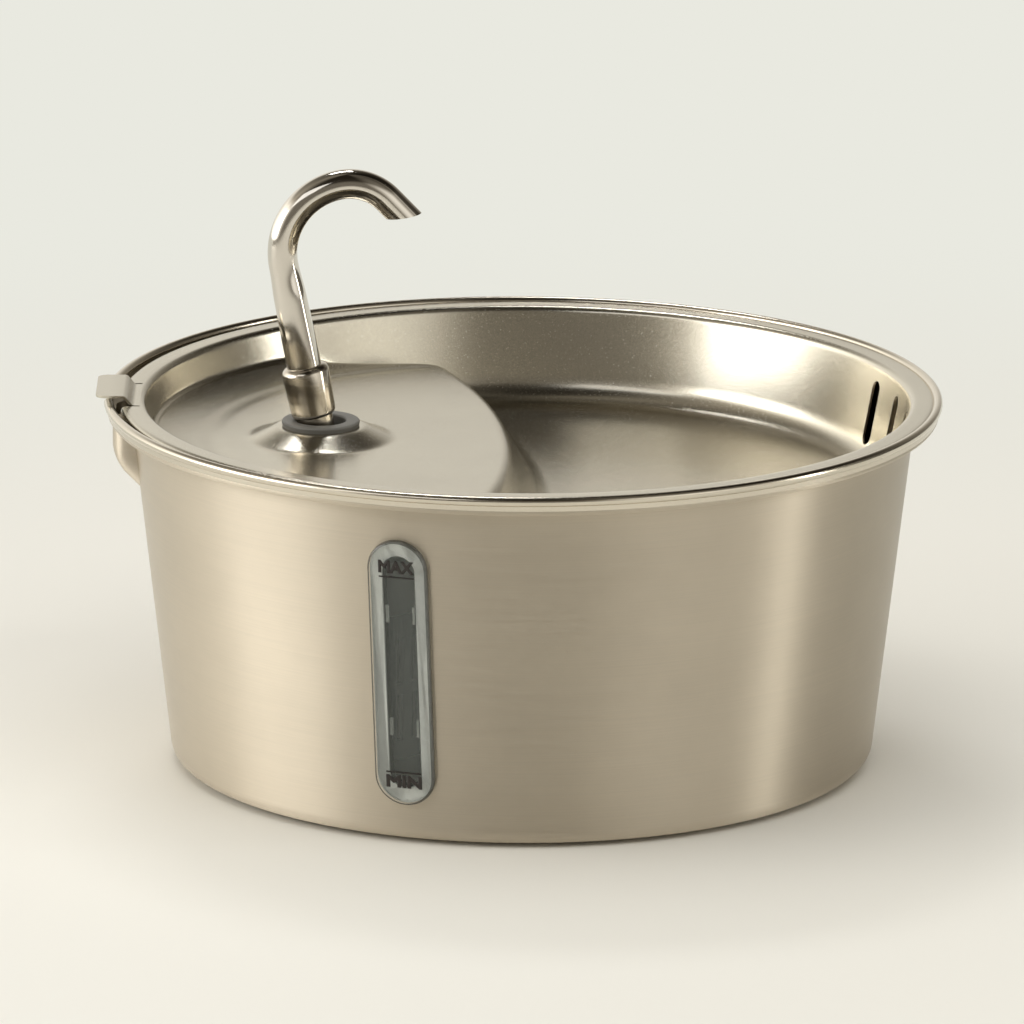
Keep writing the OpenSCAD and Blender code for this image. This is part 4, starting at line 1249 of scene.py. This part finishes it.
def finishes() -> dict[Finish, Material]:
    """Make every finish once.

    Returns:
        The material of each finish.
    """
    wall = Lay.ROUND_WALL
    kinds = {
        # cold-rolled stainless, spun and then belt-brushed round: smears what it mirrors upright
        Finish.TUB: Steel("brushed_stainless_wall", "D4CAB9", wall, 0.48, 0.35, 0.004, 0.08, 0.1, 0.92),
        # pressed stainless with a fine bead-blasted satin: soft, slightly grainy light
        Finish.TRAY: Steel("satin_stainless_tray", "D6D0C1", Lay.NONE, 0.24, 0.5, 0.014, 0.12, 0.15),
        # drawn and polished tube: clear dark and light bands along its length
        Finish.SPOUT: Steel("polished_stainless_tube", "D8D2C8", Lay.NONE, 0.1, 0.6, 0.001, 0.02, 0.2),
        # turned on a lathe and polished: fine rings that hardly show
        Finish.FITTING: Steel("turned_stainless_fitting", "D0C8BA", wall, 0.16, 0.25, 0.002, 0.04, 0.2, 0.3),
        # machined stainless, left as it came off the tool
        Finish.SCREW: Steel("machined_stainless_screw", "C8C6C2", Lay.ROUND_DISC, 0.25, 0.2, 0.003, 0.08),
        # matt synthetic rubber with a fine grip grain
        Finish.PAD: Moulded("anti_slip_rubber", "1B1B1C", 0.8, 0.5, 0.05),
        # soft silicone gasket: blue-grey, slightly oily shine
        Finish.GASKET: Moulded("blue_grey_silicone", "D2D5D0", 0.4, 0.5, 0.01),
        # soft silicone grommet: even mid grey with a dull shine
        Finish.GROMMET: Moulded("grey_silicone", "6A6863", 0.45, 0.5, 0.01),
        # unpigmented silicone: milky and half clear
        Finish.CLEAR_SILICONE: Moulded("milky_silicone", "D9DCDC", 0.4, 0.5, 0.01, clear=0.3, ior=1.42),
        # clear injection-moulded styrene: glossy, a little smoky
        Finish.LENS: Clear("clear_styrene_plastic", "B4BAB4", 0.04, (0.1, 0.3), 1.49),
        # dark moulded ABS
        Finish.FRAME: Moulded("dark_moulded_abs", "3A3C3D", 0.45),
        # dark grey moulded ABS with a fine spark-eroded texture
        Finish.CASE: Moulded("dark_grey_moulded_abs", "46494B", 0.45, 0.35, 0.012),
        # black moulded ABS of a small pump
        Finish.PUMP: Moulded("black_moulded_abs", "17181A", 0.4, 0.35, 0.012),
        # off-white moulded polypropylene, waxy
        Finish.CAP: Moulded("off_white_polypropylene", "DFE0DC", 0.35),
        # white acetal: hard, slightly greasy shine
        Finish.IMPELLER: Moulded("white_moulded_acetal", "E2E2DD", 0.35),
        # reticulated foam: open cells of a millimetre, no shine
        Finish.SPONGE: Moulded("open_cell_foam", "22262A", 0.95, 1.2, 0.6),
        # needled polyester felt: fibres catch the light at the edge
        Finish.FLEECE: Moulded("needled_felt", "EBEBE6", 0.95, 0.8, 0.3, sheen=0.4),
        # crushed activated carbon: dull black grains
        Finish.CARBON: Moulded("carbon_granules", "101010", 0.75, 2.0, 0.8),
        # sintered ferrite: dark and slightly metallic
        Finish.MAGNET: Moulded("sintered_ferrite", "3B3B3E", 0.5, metallic=0.6),
        # ground alumina: smooth white
        Finish.CERAMIC: Moulded("ground_white_ceramic", "E8E8E4", 0.2, 0.3, 0.002, ior=1.76),
        # moulded nitrile rubber
        Finish.BUSH: Moulded("black_rubber", "161616", 0.7),
        # stacked electrical steel sheets
        Finish.CORE: Steel("laminated_steel", "6A6A6E", wall, 0.45, 0.5, 0.05, 0.2),
        # enamelled copper wire, wound in turns of half a millimetre
        Finish.COIL: Steel("enamelled_copper_wire", "A5552B", wall, 0.3, 0.5, 0.08, 0.2),
        # the tub's sheet after rolling, buffed with a fine mop: clear light and dark lines round the rim
        Finish.RIM: Steel("buffed_stainless_rim", "D8D0C1", wall, 0.2, 0.3, 0.002, 0.04, 0.15, 0.3),
        # the rounded rim of the clear plate: glossy, its dark tint painted shade for the shadowed outline
        # round the plate
        Finish.EDGE: Clear("clear_styrene_edge_painted_shade", "2C2B26", 0.06, (0.7, 0.97), 1.59),
        # the small bosses moulded under the plate, milky because their ends are not polished
        Finish.CLIP: Clear("clear_styrene_boss", "9A9E98", 0.25, (0.5, 0.8), 1.49),
        # screen-printed ink: dark brown and dull
        Finish.INK: Moulded("dark_brown_screen_ink", "1E1612", 0.5, 0.3, 0.003),
    }
    return {finish: kind.make() for finish, kind in kinds.items()}


# ---------------------------------------------------------------- camera, light and stage


@dataclass
class Studio:
    """Camera, lamps, floor and backdrop.

    Attributes:
        distance: metres from the camera to the middle of the rim.
        elevation: camera's height angle in degrees.
        azimuth: camera's turn about Z in degrees, 0 looking along +Y.
        lens: focal length in millimetres on a 36 mm sensor.
        target: the point that the camera is set by, in millimetres.
        target_px: where that point stands in the frame of 1024 pixels.
        roll: camera's roll in radians.
        frame_px: width of the image.
        floor: sRGB colour of the floor near the object.
        backdrop: sRGB colour of the floor away from it.
        near: distance in metres at which the floor starts to pass into the backdrop, and where it has.
        behind: place along Y at which the backdrop starts, and where it is whole.
        room: brightness of the studio around.
        around: directions in degrees, 0 towards +X, and the brightness of the studio there.
        height: height angles in degrees, and the brightness of the studio there.
    """

    distance: float = 3.50035
    elevation: float = 14.0155
    azimuth: float = -4.0
    lens: float = 421.33
    target: tuple[float, float, float] = (0.0, 0.0, 109.04)
    target_px: tuple[float, float] = (523.07, 393.28)
    roll: float = 0.00437
    frame_px: float = 1024.0
    floor: str = "EFEDE6"
    backdrop: str = "E9E9E0"
    near: tuple[float, float] = (0.2, 0.7)
    behind: tuple[float, float] = (-0.1, 0.3)
    room: float = 1.0
    around: Profile = field(
        default_factory=lambda: [
            *((-180, 2.8), (-168, 2.2), (-152, 1.5), (-142, 0.8), (-134, 0.3), (-126, 0.22), (-88, 0.2)),
            *((-76, 0.2), (-71, 0.5), (-60, 1.0), (-45, 1.2), (-28, 0.9), (-19, 0.6), (-15, 1.3), (-8, 1.2)),
            *((-4, 0.2), (30, 0.08), (60, 0.3), (88, 0.92), (130, 1.2), (180, 2.8)),
        ]
    )
    height: Profile = field(default_factory=lambda: [(0, 1.0), (22, 0.95), (36, 0.2), (60, 0.1), (90, 0.1)])

    def add_camera(self) -> None:
        """Place the camera."""
        el = math.radians(self.elevation)
        az = math.radians(self.azimuth)
        focal = self.lens / 36.0 * self.frame_px
        back = Vector((math.sin(az) * math.cos(el), -math.cos(az) * math.cos(el), math.sin(el)))
        eye = Vector(self.target) * MM + back * self.distance
        yaw = math.atan2(self.target_px[0] - self.frame_px / 2, focal)
        pitch = el - math.atan2(self.target_px[1] - self.frame_px / 2, focal)
        ahead = math.cos(pitch)
        forward = Vector((-math.sin(yaw) * ahead, math.cos(yaw) * ahead, -math.sin(pitch)))
        forward = Matrix.Rotation(az, 3, "Z") @ forward
        right = forward.cross(Vector((0, 0, 1))).normalized()
        up = right.cross(forward)
        level = right * math.cos(self.roll) + up * math.sin(self.roll)
        upright = up * math.cos(self.roll) - right * math.sin(self.roll)
        camera = bpy.data.cameras.new("camera")
        camera.lens = self.lens
        camera.sensor_width = 36.0
        camera.clip_end = 100.0
        holder = bpy.data.objects.new("camera", camera)
        bpy.context.collection.objects.link(holder)
        turn = Matrix((level, upright, -forward)).transposed().to_4x4()
        holder.matrix_world = Matrix.Translation(eye) @ turn
        bpy.context.scene.camera = holder

    def add_lamp(
        self,
        name: str,
        place: Point,
        look: float,
        size: tuple[float, float],
        watts: float,
        tint: str,
        mirrored: bool = True,
    ) -> None:
        """Add one soft box that faces the object.

        Args:
            name: name of the lamp.
            place: its place in metres.
            look: height of the point that it faces, in metres.
            size: its width and height in metres.
            watts: its power.
            tint: sRGB colour of its light.
            mirrored: false where a grid keeps the box itself out of the metal's reflections.
        """
        lamp = bpy.data.lights.new(name, "AREA")
        lamp.shape = "RECTANGLE"
        lamp.size, lamp.size_y = size
        lamp.energy = watts
        lamp.color = srgb(tint)[:3]
        holder = bpy.data.objects.new(name, lamp)
        bpy.context.collection.objects.link(holder)
        holder.visible_glossy = mirrored
        aim = (Vector((0, 0, look)) - Vector(place)).to_track_quat("-Z", "Y")
        holder.matrix_world = Matrix.Translation(Vector(place)) @ aim.to_matrix().to_4x4()

    def add_lamps(self) -> None:
        """Add two boxes at the left, a narrow one at the right, one behind, and two that only fill."""
        self.add_lamp("key", (-1.535, -0.216, 0.5), 0.08, (1.1, 0.6), 5.3, "FFFFFF")
        self.add_lamp("high", (-0.81, -0.97, 0.99), 0.08, (0.9, 0.45), 1.6, "FFFFFF")
        self.add_lamp("strip", (1.6, -0.3, 0.35), 0.06, (0.14, 0.9), 3.2, "FFFDF6")
        self.add_lamp("back", (-0.14, 0.8, 1.26), 0.08, (0.45, 0.22), 3.0, "FFFFFF")
        self.add_lamp("top", (-0.1, 0.1, 1.6), 0, (1.6, 1.4), 10.0, "FFFFFC", False)
        self.add_lamp("front", (0.3, -1.0, 1.4), 0, (1.6, 0.8), 9.0, "FFFFFC", False)

    def ramp(self, tree: Tree, where: Socket, stops: Profile) -> Socket:
        """Add a grey ramp.

        Args:
            tree: node tree that gets it.
            where: place on the ramp, 0 to 1.
            stops: places on the ramp and the brightness there; the dimmer, the warmer.

        Returns:
            The ramp's colour.
        """
        node = add_node(tree, "ValToRGB", {0: where})
        marks = node.color_ramp.elements
        while len(marks) < len(stops):
            marks.new(0.5)
        for mark, (place, grey) in zip(marks, stops):
            warm = 1 - min(grey, 1)
            mark.position = place
            mark.color = (grey, grey * (1 - 0.08 * warm), grey * (1 - 0.2 * warm), 1)
        return node.outputs[0]

    def seen_rays(self, tree: Tree) -> Socket:
        """Tell rays that look at the stage, straight or by a mirror or glass, from those that light it."""
        path = add_node(tree, "LightPath")
        seen = path.outputs["Is Camera Ray"]
        for kind in ("Is Glossy Ray", "Is Transmission Ray"):
            both = {0: seen, 1: path.outputs[kind]}
            seen = add_node(tree, "Math", both, operation="MAXIMUM").outputs[0]
        return seen

    def add_stage(self) -> None:
        """Add the floor, which runs on as a plain backdrop away from the object, and the studio around."""
        self.add_floor()
        self.add_room()

    def add_floor(self) -> None:
        """Add the floor, matt near the object and of one even colour far behind it."""
        deselect()
        bpy.ops.mesh.primitive_plane_add(size=14.0, location=(0, 0, 0))
        floor = bpy.context.object
        floor.name = "floor"
        material, tree, shader, place = new_material("matte_white_paper")
        shader.inputs["Base Color"].default_value = srgb(self.floor)
        shader.inputs["Roughness"].default_value = 0.6
        shader.inputs["Specular IOR Level"].default_value = 0.2
        away = add_node(tree, "VectorMath", {0: place}, operation="LENGTH")
        apart = add_node(tree, "SeparateXYZ", {0: place})
        far, behind = [
            add_node(
                tree,
                "MapRange",
                {"Value": value, "From Min": low, "From Max": high},
                interpolation_type="SMOOTHSTEP",
            )
            for value, (low, high) in ((away.outputs[1], self.near), (apart.outputs[1], self.behind))
        ]
        back = add_node(tree, "Math", {0: far.outputs[0], 1: behind.outputs[0]}, operation="MULTIPLY")
        share = add_node(tree, "Math", {0: back.outputs[0], 1: self.seen_rays(tree)}, operation="MULTIPLY")
        plain = add_node(tree, "Emission", {"Color": srgb(self.backdrop), "Strength": 1.0})
        mix = add_node(tree, "MixShader", {0: share.outputs[0], 1: shader.outputs[0], 2: plain.outputs[0]})
        tree.links.new(mix.outputs[0], tree.nodes["Material Output"].inputs[0])
        floor.data.materials.append(material)

    def add_room(self) -> None:
        """Add the studio around, whose light and dark parts the metal mirrors."""
        world = bpy.data.worlds.new("studio")
        world.use_nodes = True
        tree = world.node_tree
        tree.nodes.clear()
        where = add_node(tree, "TexCoord")
        apart = add_node(tree, "SeparateXYZ", {0: where.outputs["Generated"]})
        turn = add_node(tree, "Math", {0: apart.outputs[1], 1: apart.outputs[0]}, operation="ARCTAN2")
        turn = {"Value": turn.outputs[0], "From Min": -math.pi, "From Max": math.pi}
        turn = add_node(tree, "MapRange", turn)
        rise = add_node(tree, "MapRange", {"Value": apart.outputs[2], "From Min": 0.0, "From Max": 1.0})
        around = self.ramp(tree, turn.outputs[0], [((a + 180) / 360, grey) for a, grey in self.around])
        stops = [(math.sin(math.radians(a)), grey) for a, grey in self.height]
        height = self.ramp(tree, rise.outputs[0], stops)
        light = times(tree, times(tree, around, height), srgb("FFFCF4"))
        room = add_node(tree, "Background", {"Color": light, "Strength": self.room})
        add_node(tree, "OutputWorld", {"Surface": room.outputs[0]})
        bpy.context.scene.world = world


def main() -> None:
    """Build, dress and light the fountain."""
    logging.basicConfig(level=logging.INFO, format="%(name)s: %(message)s")
    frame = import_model()
    studio = Studio()
    studio.add_camera()
    finish = finishes()
    slots = {part["node"]: part["material_slot"] for part in frame["record"]["subparts"]}
    body_of = {node: body for body, nodes in frame["record"]["behaviour"]["bodies"].items() for node in nodes}
    tub = Tub()
    window = WaterWindow(tub)
    tray = Tray()
    spout = Spout()
    jobs = [
        (tub.build, "tub"),
        (tub.build_pad, "foot_pad"),
        (window.build_lens, "window_lens"),
        (window.build_gasket, "window_gasket"),
        (tray.build, "tray"),
        (spout.build_tube, "spout_tube"),
        (spout.build_collar, "spout_collar"),
        (spout.build_stem, "spout_stem"),
        (spout.build_seal, "spout_seal"),
        (spout.build_grommet, "spout_grommet"),
    ]
    done = set()
    for build, node in jobs:
        stand_for(build(), body_of[node], slots[node], finish[Finish(slots[node])], node)
        done.add(node)
    # the plate's rim gets its painted shade
    window.shade_plate_rim(bpy.data.objects["level_lens"], finish[Finish.EDGE])
    tub.polish_rim(bpy.data.objects["tub_shell"], finish[Finish.RIM])
    for mark in window.marks:
        stand_for(window.build_mark(*mark), "tub_unit", "lens_clear", finish[Finish.INK])
    stand_for(window.build_clips(), "tub_unit", "lens_clear", finish[Finish.CLIP])
    works = Works(frame)
    for node in frame["nodes"]:
        if node not in done:
            piece = works.copy_of(node)
            if node == "window_screws":
                window.trim_screws(piece)
            stand_for(piece, body_of[node], slots[node], finish[Finish(slots[node])], node)
    studio.add_lamps()
    studio.add_stage()
    bpy.context.scene.view_settings.view_transform = "Standard"


if __name__ == "__main__":
    main()
